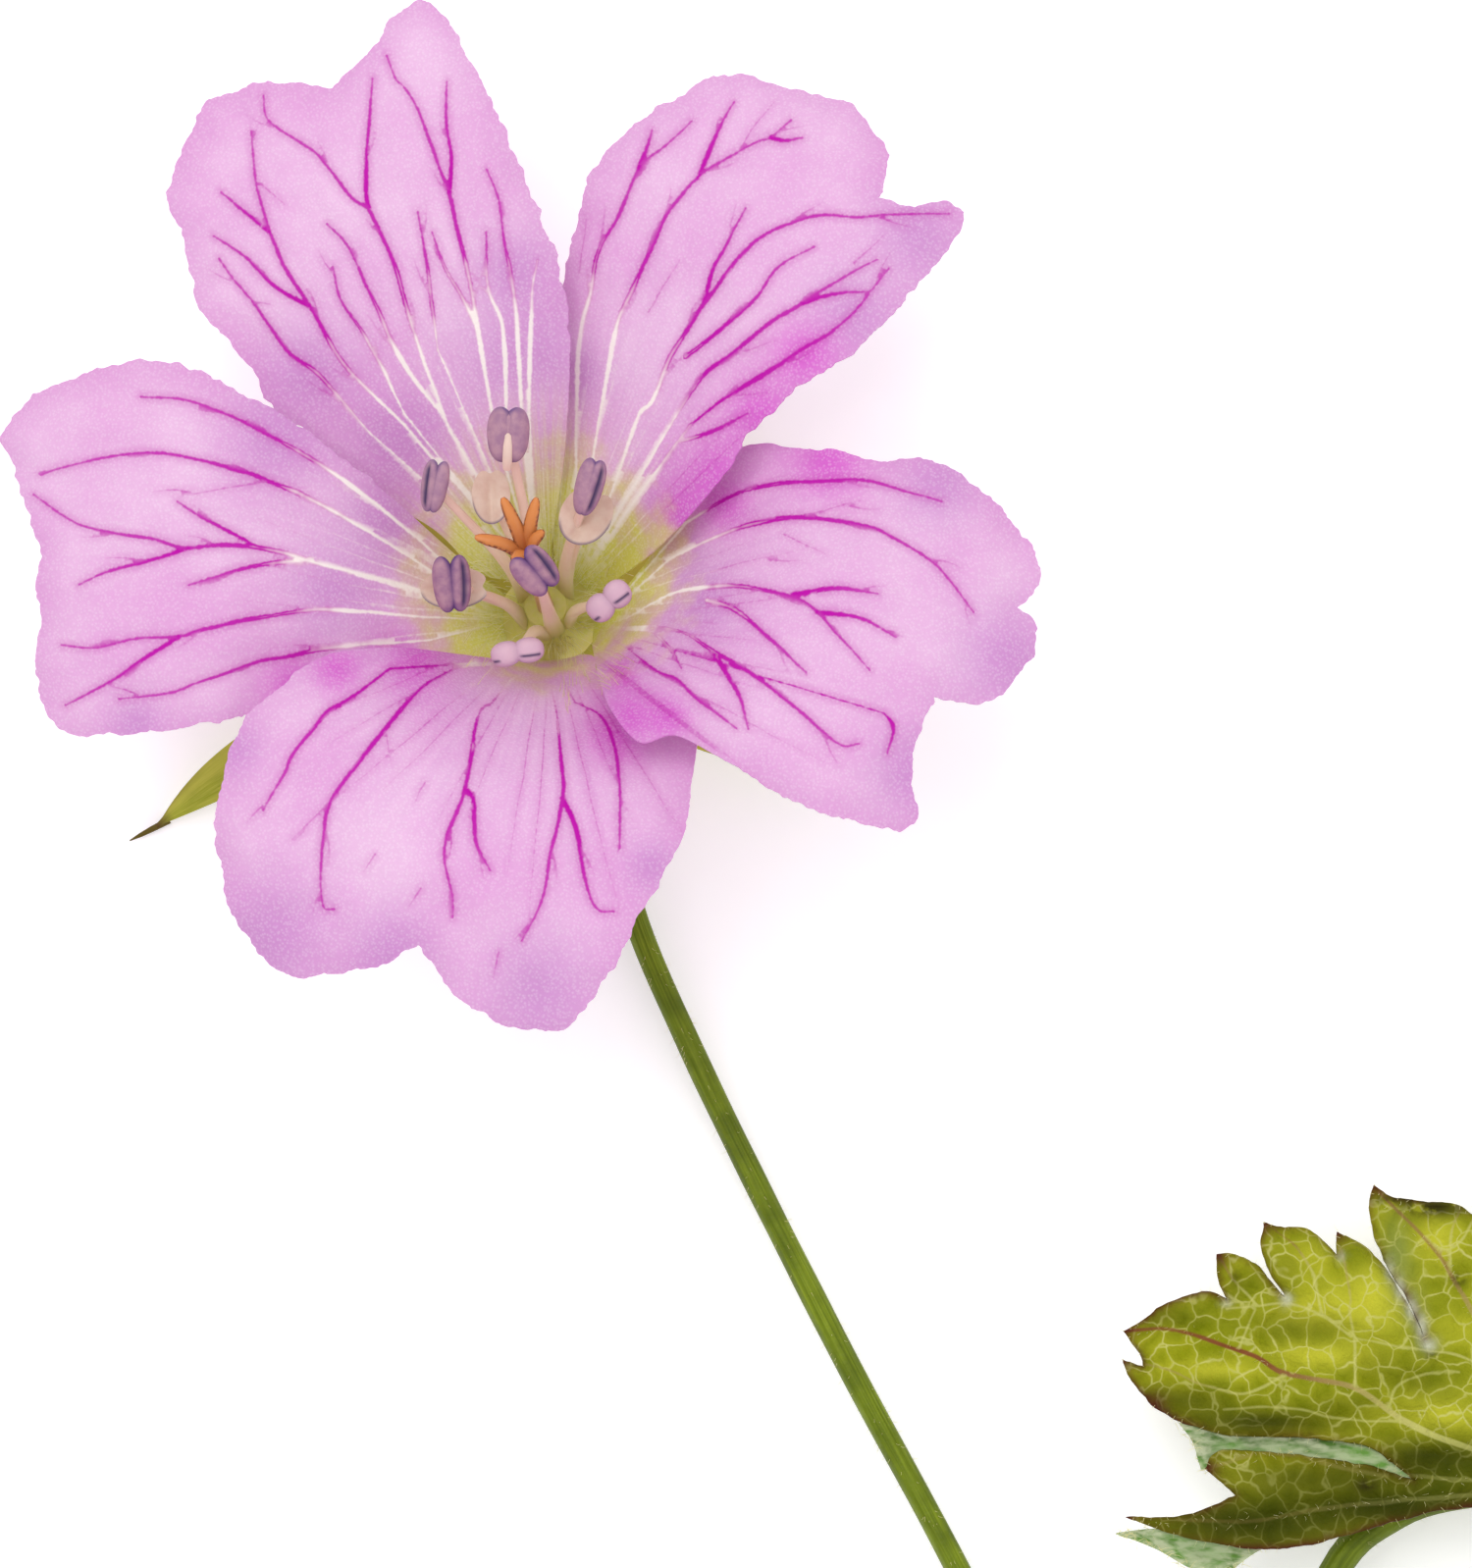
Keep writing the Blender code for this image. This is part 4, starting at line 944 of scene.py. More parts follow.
def new_material(name, *numbers):
    """An empty node material, a function that adds nodes to it, the place on
    the piece, and the named numbers that are held at its points."""
    material = bpy.data.materials.new(name)
    material.use_nodes = True
    tree = material.node_tree
    tree.nodes.clear()

    def add(kind, *inputs, out=0, named=None, **settings):
        """Adds a node with its settings and inputs, and returns an output."""
        node = tree.nodes.new("ShaderNode" + kind)
        for name, value in settings.items():
            setattr(node, name, value)
        for key, value in [*enumerate(inputs), *(named or {}).items()]:
            if isinstance(value, bpy.types.NodeSocket):
                tree.links.new(value, node.inputs[key])
            elif value is not None:
                node.inputs[key].default_value = value
        return node.outputs[out] if len(node.outputs) else None

    held = [add("Attribute", out=2, attribute_name=number) for number in numbers]
    return [material, add, add("TexCoord", out=3), *held]


def rgba(colour):
    """A colour setting as a socket's value."""
    return (*tuple(colour)[:3], 1.0)


def blend(share, first, second):
    """The settings of a node that mixes two colours."""
    first, second = (c if isinstance(c, bpy.types.NodeSocket) else rgba(c)
                     for c in (first, second))
    return {"named": {0: share, 6: first, 7: second}, "out": 2, "data_type": "RGBA"}


def tissue_surface(add, skin, bump, roughness, ior, specular, through=None, facing=None):
    """Ends a material in its skin, and the share of light that shines through."""
    body = add("BsdfPrincipled", named={
        "Base Color": skin, "Roughness": roughness, "IOR": ior,
        "Specular IOR Level": specular, "Normal": bump})
    if through is not None:
        body = add("MixShader", through, body, add("BsdfTranslucent", skin, facing))
    add("OutputMaterial", body)


def petal_tissue(look):
    """Petal tissue, as it grew: one thin layer of dyed cells over pale veins.
    It gives the eye a matt, faintly glittering skin that light shines through,
    its glints painted white on the cells, with lilac areas of painted shade."""
    material, add, place, reach, side, gap, strength, rim, magenta, lilac, pale_by, green_by = (
        new_material("petal_tissue", "reach", "side", "vein_gap", "vein_strength", "rim",
                     "magenta", "lilac", "pale_by", "green_by"))

    # Soft patches of paler and deeper dye, 4 mm across; then the margin, painted
    # lilac shade, and magenta beside the claws
    patches = add("TexNoise", place, None, scale_of(4.0), 5.0)
    paler = add("MapRange", patches, 0.34, 0.66, 0.10, 0.72)
    skin = add("Mix", **blend(paler, look.limb, look.light))
    skin = add("Mix", **blend(add("MapRange", rim, 0.0, 1.2, 0.5, 0.0), skin, look.margin))
    for share, colour in ((lilac, look.lilac), (magenta, look.magenta)):
        skin = add("Mix", **blend(share, skin, colour))

    # Fine streaks that run out from the claw, about 0.2 mm wide, in the same lilac
    # as the painted shade
    across = add("Math", side, 24.0, **TIMES)
    along = add("Math", reach, 0.3, **TIMES)
    streaks = add("TexNoise", add("CombineXYZ", across, along), None, 1.0, 2.0)
    streak = add("MapRange", streaks, 0.35, 0.7, 0.0, 1.0)
    near = add("MapRange", reach, 5.0, 12.0, 0.30, 0.05)
    streak = add("Math", streak, near, **TIMES)
    skin = add("Mix", **blend(streak, skin, look.lilac))

    # Dye that bleeds out beside each vein, uneven every 1.1 mm
    ragged = add("TexNoise", place, None, scale_of(1.111), 2.0)
    ragged = add("MapRange", ragged, 0.3, 0.7, -0.8, 0.8)
    turning = add("Math", pale_by, ragged, operation="ADD")
    dyed = add("MapRange", turning, -1.0, 1.5, 0.0, 1.0)
    bleed = add("MapRange", gap, 0.0, 0.30, 0.30, 0.0, **SMOOTH)
    bleed = add("Math", bleed, add("Math", strength, dyed, **TIMES), **TIMES)
    skin = add("Mix", **blend(bleed, skin, look.vein))

    # The yellow-green throat
    throat = add("Math", green_by, ragged, operation="ADD")
    throat = add("MapRange", throat, -1.9, 1.3, 1.0, 0.0, **SMOOTH)
    skin = add("Mix", **blend(throat, skin, look.throat))

    # Whitish streaks between the pale veins
    whitish = add("Math", add("MapRange", streaks, 0.40, 0.60, 0.0, 1.0),
                  add("MapRange", pale_by, -8.5, -3.5, 0.75, 0.0), **TIMES)
    skin = add("Mix", **blend(whitish, skin, look.whitish))

    # Domed skin cells, really 0.03 mm, drawn at 0.11 mm so that they show, each
    # with a painted white glint at its middle
    cells = add("TexVoronoi", place, None, scale_of(0.1111))
    painted_glint = add("MapRange", cells, 0.05, 0.55, 0.24, 0.0)
    skin = add("Mix", **blend(painted_glint, skin, linear(PAINTED_GLINT)))

    # The veins: pale near the claw, magenta further out, the sides first. Their
    # sides are feathered every 0.14 mm, by half a cell
    feather = add("TexNoise", place, None, scale_of(0.14286), 1.0)
    feather = add("MapRange", feather, 0.25, 0.75, -0.014, 0.014)
    edge = add("Math", gap, feather, operation="ADD")
    vein = add("MapRange", edge, -0.035, 0.035, 1.0, 0.0, **SMOOTH)
    vein = add("Math", vein, strength, **TIMES)
    turning = add("Math", turning, add("Math", gap, 16.0, **TIMES), operation="ADD")
    turning = add("Math", turning, add("Math", magenta, 2.5, **TIMES), operation="ADD")
    dye = add("MapRange", turning, -2.0, 0.4, 0.0, 1.0)
    vein_colour = add("Mix", **blend(dye, look.pale_vein, look.vein))
    skin = add("Mix", **blend(vein, skin, vein_colour))

    # The cells' domes, and puckers 0.6 mm apart
    ripple = add("TexNoise", place, None, scale_of(0.625), 3.0)
    bumps = add("Math", add("Math", cells, -0.7, **TIMES), ripple, operation="ADD")
    bump = add("Bump", 0.40, 0.00005, named={"Height": bumps})
    tissue_surface(add, skin, bump, roughness=0.50, ior=1.42, specular=0.12,
                   through=look.translucency, facing=bump)
    return material


def leaf_tissue(look):
    """Leaf tissue, as it grew: green between a raised net of pale veins.
    It gives the eye a soft, hairy matt green with red-brown tips."""
    material, add, place, gap, strength, red, vein_red, dark, pale, burnt, felt, white = (
        new_material("leaf_tissue", "vein_gap", "vein_strength", "red", "vein_red", "dark",
                     "pale", "burnt", "felt", "white"))

    # The net is bent by up to 0.4 mm, every 1.1 mm
    warp = add("TexNoise", place, None, scale_of(1.111), 2.0, out=1)
    warp = add("VectorMath", warp, (0.5, 0.5, 0.5), operation="SUBTRACT")
    warp = add("VectorMath", warp, named={"Scale": 0.0008}, operation="SCALE")
    bent = add("VectorMath", place, warp, operation="ADD")

    # The net of the finest veins, in meshes about 0.8 mm wide
    net = add("TexVoronoi", bent, None, scale_of(0.8), feature="DISTANCE_TO_EDGE")
    line = add("MapRange", net, 0.0, 0.062, 0.78, 0.0, **SMOOTH)
    middle = add("MapRange", net, 0.03, 0.40, 0.0, 1.0)

    # Deeper green in patches 3 mm across and in some of the meshes, then painted
    # light on the lit flanks, painted shade on the flanks that face away, and
    # greyish painted shade in the felt colour beside a rib
    patches = add("TexNoise", place, None, scale_of(3.03), 3.0)
    green = add("Mix", **blend(add("MapRange", patches, 0.35, 0.68, 0.0, 0.8),
                               look.green, look.deep_green))
    green = add("Mix", **blend(add("MapRange", middle, 0.0, 1.0, 0.30, 0.0), green,
                               look.light_green))
    each = add("TexVoronoi", bent, None, scale_of(0.8), out=1)
    each = add("MapRange", each, 0.15, 0.9, 0.0, 0.45)
    for share, colour in ((each, look.deep_green), (pale, look.light_green),
                          (dark, look.dark), (felt, look.felt)):
        green = add("Mix", **blend(share, green, colour))

    # The net fades in places 0.9 mm apart, and where the blade is dark or felted,
    # that is where shade is painted
    thin = add("TexNoise", place, None, scale_of(0.909), 2.0)
    thin = add("MapRange", thin, 0.35, 0.62, 0.45, 1.0)
    dim = add("Math", line, add("MapRange", dark, 0.0, 0.9, 1.0, 0.08), **TIMES)
    dim = add("Math", dim, add("MapRange", felt, 0.0, 1.0, 1.0, 0.15), **TIMES)
    dim = add("Math", dim, thin, **TIMES)
    green = add("Mix", **blend(dim, green, look.vein))

    # The ribs, and the red that runs out along them; the ribs fade where shade is
    # painted
    rib = add("MapRange", gap, -0.03, 0.045, 1.0, 0.0, **SMOOTH)
    rib = add("Math", rib, strength, **TIMES)
    rib = add("Math", rib, add("MapRange", dark, 0.0, 1.0, 1.0, 0.25), **TIMES)
    green = add("Mix", **blend(rib, green, add("Mix", **blend(vein_red, look.vein,
                                                               look.red_vein))))
    skin = add("Mix", **blend(red, green, look.red))

    # Red tips, and dead spots broken up every 0.5 mm
    broken = add("TexNoise", place, None, scale_of(0.5263), 3.0)
    broken = add("MapRange", broken, 0.30, 0.46, 0.0, 1.0)
    skin = add("Mix", **blend(add("Math", broken, burnt, **TIMES), skin, look.burnt))
    skin = add("Mix", **blend(white, skin, look.bloom))

    # Raised meshes, under hair roots 0.14 mm apart
    grain = add("TexNoise", place, None, scale_of(0.14286), 2.0)
    relief = add("Math", middle, grain, operation="ADD")
    bump = add("Bump", 0.6, 0.00012, named={"Height": relief})
    tissue_surface(add, skin, bump, roughness=0.5, ior=1.45, specular=0.06,
                   through=look.translucency)
    return material


def leaf_underside(look):
    """The leaf's underside, as it grew: green under a thin felt of hairs.
    It gives the eye a dull blue-green with woolly grey streaks."""
    material, add, place, rim = new_material("leaf_underside", "rim")

    # Patches 1.1 mm and tufts of felt 0.26 mm wide, both three times as long
    stretch = add("Mapping", place, None, None, (0.35, 1.0, 1.0))
    patches = add("TexNoise", stretch, None, scale_of(1.111), 4.0)
    streaks = add("TexNoise", stretch, None, scale_of(0.2632), 3.0)
    skin = add("Mix", **blend(add("MapRange", patches, 0.42, 0.62, 0.0, 1.0), look.under,
                              look.under_shade))
    felt = add("Math", add("MapRange", streaks, 0.34, 0.60, 0.0, 1.0),
               add("MapRange", rim, 0.0, 0.9, 1.0, 0.35), **TIMES)
    skin = add("Mix", **blend(felt, skin, look.under_felt))
    bump = add("Bump", 0.5, 0.00010, named={"Height": streaks})
    tissue_surface(add, skin, bump, roughness=0.6, ior=1.45, specular=0.12,
                   through=look.translucency)
    return material


def green_skin(name, main, light, dark, ridge_scale, translucency):
    """Young green skin, as it grew: ribbed tissue with a dull wax film.
    It gives the eye a soft highlight, broken by fine lengthwise ridges."""
    material, add, place, along, turn, ruddy, bright = new_material(
        name, "along", "turn", "ruddy", "bright")

    # Ridges about 0.15 mm apart on a sepal and 0.1 mm on a stalk, patches of
    # 1.4 mm and a grain of 0.125 mm
    ridges = add("TexNoise", add("CombineXYZ", turn, along), None, ridge_scale, 2.0)
    patches = add("TexNoise", place, None, scale_of(1.4286), 3.0)
    skin = add("Mix", **blend(add("MapRange", ridges, 0.35, 0.68, 0.0, 1.0), main, light))
    skin = add("Mix", **blend(add("MapRange", patches, 0.35, 0.70, 0.0, 0.6), skin, dark))
    # Painted light: where a piece asks for it, the skin is lightened to a pale yellow-green
    skin = add("Mix", **blend(bright, skin, linear(PAINTED_LIGHT_GREEN)))
    skin = add("Mix", **blend(ruddy, skin, linear(RUDDY)))
    grain = add("TexNoise", place, None, scale_of(0.125), 2.0)
    bump = add("Bump", 0.35, 0.00008, named={
        "Height": add("Math", ridges, grain, operation="ADD")})
    tissue_surface(add, skin, bump, roughness=0.40, ior=1.45, specular=0.16, through=translucency)
    return material


def anther_skin(look):
    """Anther wall, as it grew: dry matt tissue, dark along its slit.
    It gives the eye velvety mauve lobes with a violet line down each, and
    painted violet shade along their outer sides and ends."""
    material, add, place, slit, pale, edge = new_material("anther_skin", "slit", "pale", "edge")

    # Patches 0.4 mm wide, and skin cells of 0.08 mm
    patches = add("TexNoise", place, None, scale_of(0.3846), 3.0)
    wall = add("Mix", **blend(add("MapRange", patches, 0.35, 0.65, 0.0, 1.0),
                              look.anther, look.anther_light))
    # Painted shade: the wall turns violet where its edge number is high
    wall = add("Mix", **blend(edge, wall, look.anther_painted_shade))
    wall = add("Mix", **blend(pale, wall, look.anther_pale))
    skin = add("Mix", **blend(slit, wall, look.slit))
    grain = add("TexNoise", place, None, scale_of(0.08333), 2.0)
    bump = add("Bump", 0.4, 0.00004, named={"Height": grain})
    tissue_surface(add, skin, bump, roughness=0.45, ior=1.42, specular=0.2)
    return material


def filament_flesh(look):
    """Filament, as it grew: watery pale tissue, pinker towards its tip.
    It gives the eye soft, slightly shining threads."""
    material, add, place, along, pale = new_material("filament_flesh", "along", "pale")
    green = add("MapRange", along, 0.0, 0.30, 1.0, 0.0)
    pink = add("MapRange", along, 0.25, 0.85, 0.0, 1.0)
    pink = add("Math", pink, add("MapRange", pale, 0.0, 1.0, 1.0, 0.15), **TIMES)
    skin = add("Mix", **blend(pink, look.filament_base, look.filament_tip))
    skin = add("Mix", **blend(green, skin, look.ring))

    # Long cells, 0.2 mm apart
    grain = add("TexNoise", place, None, scale_of(0.2), 2.0)
    skin = add("Mix", **blend(add("MapRange", grain, 0.3, 0.7, 0.0, 0.2), skin,
                              look.filament_shade))
    bump = add("Bump", 0.25, 0.00004, named={"Height": grain})
    tissue_surface(add, skin, bump, roughness=0.42, ior=1.40, specular=0.3, through=0.35)
    return material


def spent_anther_paper(look):
    """Emptied anther wall, dried open: papery, with a thin dark rim of painted
    shade on its side towards the cut end. It gives the eye cream plates that
    light shines through."""
    material, add, place, edge = new_material("spent_anther_paper", "edge")

    # Wrinkles 0.45 mm apart
    patches = add("TexNoise", place, None, scale_of(0.4545), 3.0)
    paper = add("Mix", **blend(add("MapRange", patches, 0.35, 0.70, 0.0, 0.7), look.paper,
                               look.paper_shade))
    skin = add("Mix", **blend(edge, paper, look.anther_painted_shade))
    bump = add("Bump", 0.4, 0.00006, named={"Height": patches})
    tissue_surface(add, skin, bump, roughness=0.55, ior=1.42, specular=0.3, through=0.35)
    return material


def stigma_flesh(look):
    """Stigma and style, as they grew: moist orange tissue, with a dark outline of
    painted shade along the branches' sides, broken into specks. It gives the eye
    the one warm, glossy spot of the flower."""
    material, add, place, along, edge = new_material("stigma_flesh", "along", "edge")
    flesh = add("Mix", **blend(along, look.style, look.stigma))

    # Specks 0.14 mm apart, which break up the painted shade along the sides
    specks = add("TexNoise", place, None, scale_of(0.14286), 2.0)
    speckled_shade = add("MapRange", specks, 0.40, 0.62, 0.15, 1.0)
    speckled_shade = add("Math", speckled_shade, edge, **TIMES)
    skin = add("Mix", **blend(speckled_shade, flesh, look.speckled_shade))
    bump = add("Bump", 0.2, 0.00004, named={"Height": specks})
    tissue_surface(add, skin, bump, roughness=0.38, ior=1.40, specular=0.5)
    return material


def hair_wax(look):
    """Plant hairs, as they grew: hollow and clear, so they scatter white.
    They give the eye a fine pale fuzz."""
    material, add, place = new_material("hair_wax")

    # Darker and lighter lengths of 0.7 mm
    shades = add("TexNoise", place, None, scale_of(0.6667), 1.0)
    skin = add("Mix", **blend(add("MapRange", shades, 0.3, 0.7, 0.0, 0.6), look.white,
                              look.shade))
    tissue_surface(add, skin, None, roughness=0.35, ior=1.45, specular=0.5, through=0.5)
    return material


def sweep_paper(colour, glow):
    """Background paper on a light table: matt, even and lit from below.
    It gives the eye a clean white ground with faint, soft shadows."""
    material, add, place = new_material("sweep_paper")

    # Clumps of fibres, 1.1 mm across
    fibres = add("TexNoise", place, None, scale_of(1.111), 3.0)
    skin = add("Mix", **blend(add("MapRange", fibres, 0.3, 0.7, 0.0, 1.0), colour,
                              linear(FIBRES)))
    add("OutputMaterial", add("BsdfPrincipled", named={
        "Base Color": skin, "Roughness": 0.95, "Specular IOR Level": 0.1,
        "Emission Color": (1.0, 1.0, 1.0, 1.0), "Emission Strength": glow}))
    return material


# Settings

class PetalLook(bpy.types.PropertyGroup):
    """Sizes and colours of the petals."""
    thickness: size_setting("Blade thickness", 0.22, "Thickness of a petal's limb")
    edge_thickness: size_setting("Edge thickness", 0.06, "Thickness at a petal's rim")
    tuck: size_setting("Tucked claw", 1.1, "How far a claw reaches beneath the next petal")
    scallop: size_setting("Scallop depth", 0.17, "How far the rim waves in and out")
    vein_width: size_setting("Vein half width", 0.120, "Half the width of a main vein")
    mesh_step: size_setting("Mesh step", 0.15, "Distance between neighbouring points")
    translucency: bpy.props.FloatProperty(
        name="Translucency", description="Share of light that shines through", default=0.30,
        min=0.0, max=1.0, subtype="FACTOR")
    light: colour_setting("Light areas", "#EDCFE8", "The palest areas of the limb")
    limb: colour_setting("Limb", "#E2A9DB", "The limb's main colour")
    margin: colour_setting("Margin", "#D99BD2", "Along the rim")
    lilac: colour_setting("Lilac areas", "#CF92CF", "Shaded areas of the petals")
    magenta: colour_setting("Magenta areas", "#DA56D0", "Areas beside the claws")
    vein: colour_setting("Veins", "#C20CAE", "Veins of the limb")
    pale_vein: colour_setting("Pale veins", "#FAF6EE", "Veins near the claw")
    whitish: colour_setting("Whitish streaks", "#EFEBC0", "Between the pale veins")
    throat: colour_setting("Throat", "#DCDC6E", "The claw's colour")


class CalyxLook(bpy.types.PropertyGroup):
    """Sizes and colours of the calyx."""
    thickness: size_setting("Sepal thickness", 0.5, "Thickness of a sepal")
    awn: size_setting("Awn length", 1.1, "Length of the point at a sepal's tip")
    green: colour_setting("Green", "#93A020", "A sepal's main colour")
    light: colour_setting("Light ribs", "#C4C650", "Ribs and lit parts")
    dark: colour_setting("Dark green", "#6C7E14", "Patches between the ribs")


class StamenLook(bpy.types.PropertyGroup):
    """Colours of the stamens."""
    anther: colour_setting("Anther", "#8C6280", "Anther wall")
    anther_light: colour_setting("Anther, lit", "#A67C8C", "Lighter patches of the wall")
    # Painted shade along the anthers' edges and the spent anthers' rims
    anther_painted_shade: colour_setting("Anther edge", "#5C3E76", "Edges of the wall")
    anther_pale: colour_setting("Young anther", "#D6B2C2", "Wall of the paler anthers")
    slit: colour_setting("Slit", "#33264E", "The line along which an anther opens")
    ring: colour_setting("Filament root", "#DCD66E", "The filaments' joined roots")
    filament_base: colour_setting("Filament base", "#FBF3D6", "Filament near its root")
    filament_tip: colour_setting("Filament tip", "#F9DCD0", "Filament near its anther")
    filament_shade: colour_setting("Filament shade", "#F0D2C2", "Darker patches")
    paper: colour_setting("Spent anther", "#EEDACB", "Opened, emptied anthers")
    paper_shade: colour_setting("Spent anther, shaded", "#DDBCAC", "Its darker patches")


class PistilLook(bpy.types.PropertyGroup):
    """Colours of the pistil."""
    stigma: colour_setting("Stigma", "#C9793A", "The stigma's branches")
    style: colour_setting("Style", "#D9B08A", "The column below them")
    # Painted shade along the stigma branches' sides, broken into specks
    speckled_shade: colour_setting("Specks", "#5C2A1C", "Specks along the branches")


class StemLook(bpy.types.PropertyGroup):
    """Sizes and colours of the stalks and the node."""
    stalk_width: size_setting("Flower stalk radius", 0.43, "Radius of the flower stalk")
    petiole_width: size_setting("Leaf stalk radius", 0.55, "Radius of the leaf stalk")
    cut_width: size_setting("Cut stem radius", 0.93, "Radius of the stem at its cut")
    node_width: size_setting("Node radius", 1.12, "Radius of the stem node")
    green: colour_setting("Green", "#5C6C0A", "The stalks' main colour")
    light: colour_setting("Light ridges", "#7E8E22", "Ridges")
    dark: colour_setting("Dark green", "#404E08", "Darker patches")


class LeafLook(bpy.types.PropertyGroup):
    """Sizes and colours of the leaf blade."""
    thickness: size_setting("Blade thickness", 0.42, "Thickness of the leaf blade")
    edge_thickness: size_setting("Edge thickness", 0.14, "Thickness at the leaf's rim")
    vein_width: size_setting("Vein half width", 0.12, "Half the width of a main vein")
    mesh_step: size_setting("Mesh step", 0.19, "Distance between neighbouring points")
    translucency: bpy.props.FloatProperty(
        name="Translucency", description="Share of light that shines through", default=0.22,
        min=0.0, max=1.0, subtype="FACTOR")
    light_green: colour_setting("Light green", "#D2D03C", "Lit parts")
    green: colour_setting("Green", "#959A0E", "Between the veins")
    deep_green: colour_setting("Deep green", "#6C7806", "Darker patches")
    dark: colour_setting("Shaded parts", "#2E3402", "Parts that face away")
    vein: colour_setting("Veins", "#D2D07C", "Veins")
    red_vein: colour_setting("Red veins", "#86482E", "The outer ends of the ribs")
    red: colour_setting("Red tips", "#521418", "Tips and edges")
    burnt: colour_setting("Burnt spots", "#2A2406", "Dead spots at the edge")
    # Also the colour of the greyish painted shade beside a rib
    felt: colour_setting("Felted parts", "#82904C", "Where short hairs grow close")
    bloom: colour_setting("White places", "#D8DCC0", "The ends of the cuts")
    under: colour_setting("Underside", "#6C9A44", "The blade's underside")
    under_shade: colour_setting("Underside, shaded", "#4C6A2C", "Its darker patches")
    under_felt: colour_setting("Underside, felted", "#CCD2AE", "Where its hairs grow close")


class HairLook(bpy.types.PropertyGroup):
    """Sizes and colours of the hairs."""
    radius: size_setting("Hair radius", 0.013, "Radius of a hair at its root")
    throat_length: size_setting("Throat hairs", 1.0, "Length of the hairs in the throat")
    stem_length: size_setting("Stem hairs", 0.32, "Length of the hairs on the stalks")
    leaf_length: size_setting("Leaf hairs", 0.5, "Length of the hairs on the leaf")
    white: colour_setting("Hair", "#F2EEC4", "The hairs' colour")
    shade: colour_setting("Hair, shaded", "#D8D27C", "Their darker patches")


class StageLook(bpy.types.PropertyGroup):
    """The floor, the light and the camera."""
    floor: colour_setting("Floor", "#FBFBFB", "The paper under the sprig")
    sky: bpy.props.FloatProperty(name="Sky", description="Strength of the even light",
                                 default=0.84, min=0.0)
    glow: bpy.props.FloatProperty(name="Table light", description="Light from the floor",
                                  default=0.20, min=0.0)
    key: bpy.props.FloatProperty(name="Key light", description="Power of the main softbox",
                                 default=1.9, min=0.0, unit="POWER")
    lens: bpy.props.FloatProperty(name="Lens", description="Focal length of the camera",
                                  default=500.0, min=1.0, unit="CAMERA")


# Operators

def look(kind):
    """The settings group of one kind of piece."""
    return getattr(bpy.context.scene, "sprig_" + kind)


class SPRIG_OT_petals(bpy.types.Operator):
    """Makes the five veined petals"""
    bl_idname = "sprig.petals"
    bl_label = "Petals"

    def execute(self, context):
        settings = look("petal")
        tissue = petal_tissue(settings)
        step = settings.mesh_step / MM
        for number, (name, petal) in enumerate(PETALS.items()):
            draw = random.Random(40 + number)
            outline = outline_of(petal["outline"], 0.10)
            outline = scalloped(outline, settings.scallop / MM, (0.0, 0.0), 6.0, number * 11.0)
            outline = tucked(petal, outline, settings.tuck / MM)
            veins = petal_veins(petal, outline, draw, settings.vein_width / MM)
            plan, triangles = plan_mesh(outline, veins.lines, step)
            gap, strength, _ = veins.measure(plan, VEIN_REACH)
            rim, _ = nearest(tree_of(outline), plan)
            x, y = plan[:, 0], plan[:, 1]
            _, out, lateral = petal_field(petal, x, y)
            middle, normal, half, faces = sheet_shell(
                plan, triangles, lambda a, b: petal_field(petal, a, b)[0],
                thinned(settings, rim))
            limb = fade(out, 6.0, 12.0)
            wave = (0.20 * wander(x, y, 0.30, number * 5.0)
                    + 0.09 * wander(x, y, 0.85, number * 5.0 + 2.0)) * limb
            wave += 0.26 * wander(x, y, 0.55, number * 3.0 + 1.0) * np.exp(-rim / 0.9) * limb
            wave += 0.05 * wander(lateral * 8.0, out * 0.22, 1.0, number + 0.5) * limb
            ridge = np.exp(-(np.maximum(gap, 0.0) / 0.12) ** 2) * strength
            wave += ridge * (0.03 - 0.035 * fade(out, 6.5, 9.5))
            wave += 0.05 * (1.0 - np.exp(-(np.maximum(gap, 0.0) / 0.5) ** 2)) * limb
            middle = middle + normal * wave[:, None]
            side = np.clip((lateral + 1.0) / 2.0, 0.0, 1.0)
            held = {
                "vein_gap": gap, "vein_strength": strength, "reach": out,
                "side": lateral, "rim": np.clip(rim, 0.0, 2.0),
            }
            for key in ("pale", "green"):
                near, far = petal[key + "_to"]
                held[key + "_by"] = np.hypot(x, y) - (near + (far - near) * side)
            for key in ("magenta", "lilac"):
                held[key] = soft_areas(x, y, [
                    (cx, cy, radius, radius, AREA_SHARE) for cx, cy, radius in petal[key]])
            shells = Shells(*held)
            shells.add_blade(middle, half, faces, **held)
            shells.build(name.replace("petal", "Petal"), [tissue], name)
        return {"FINISHED"}


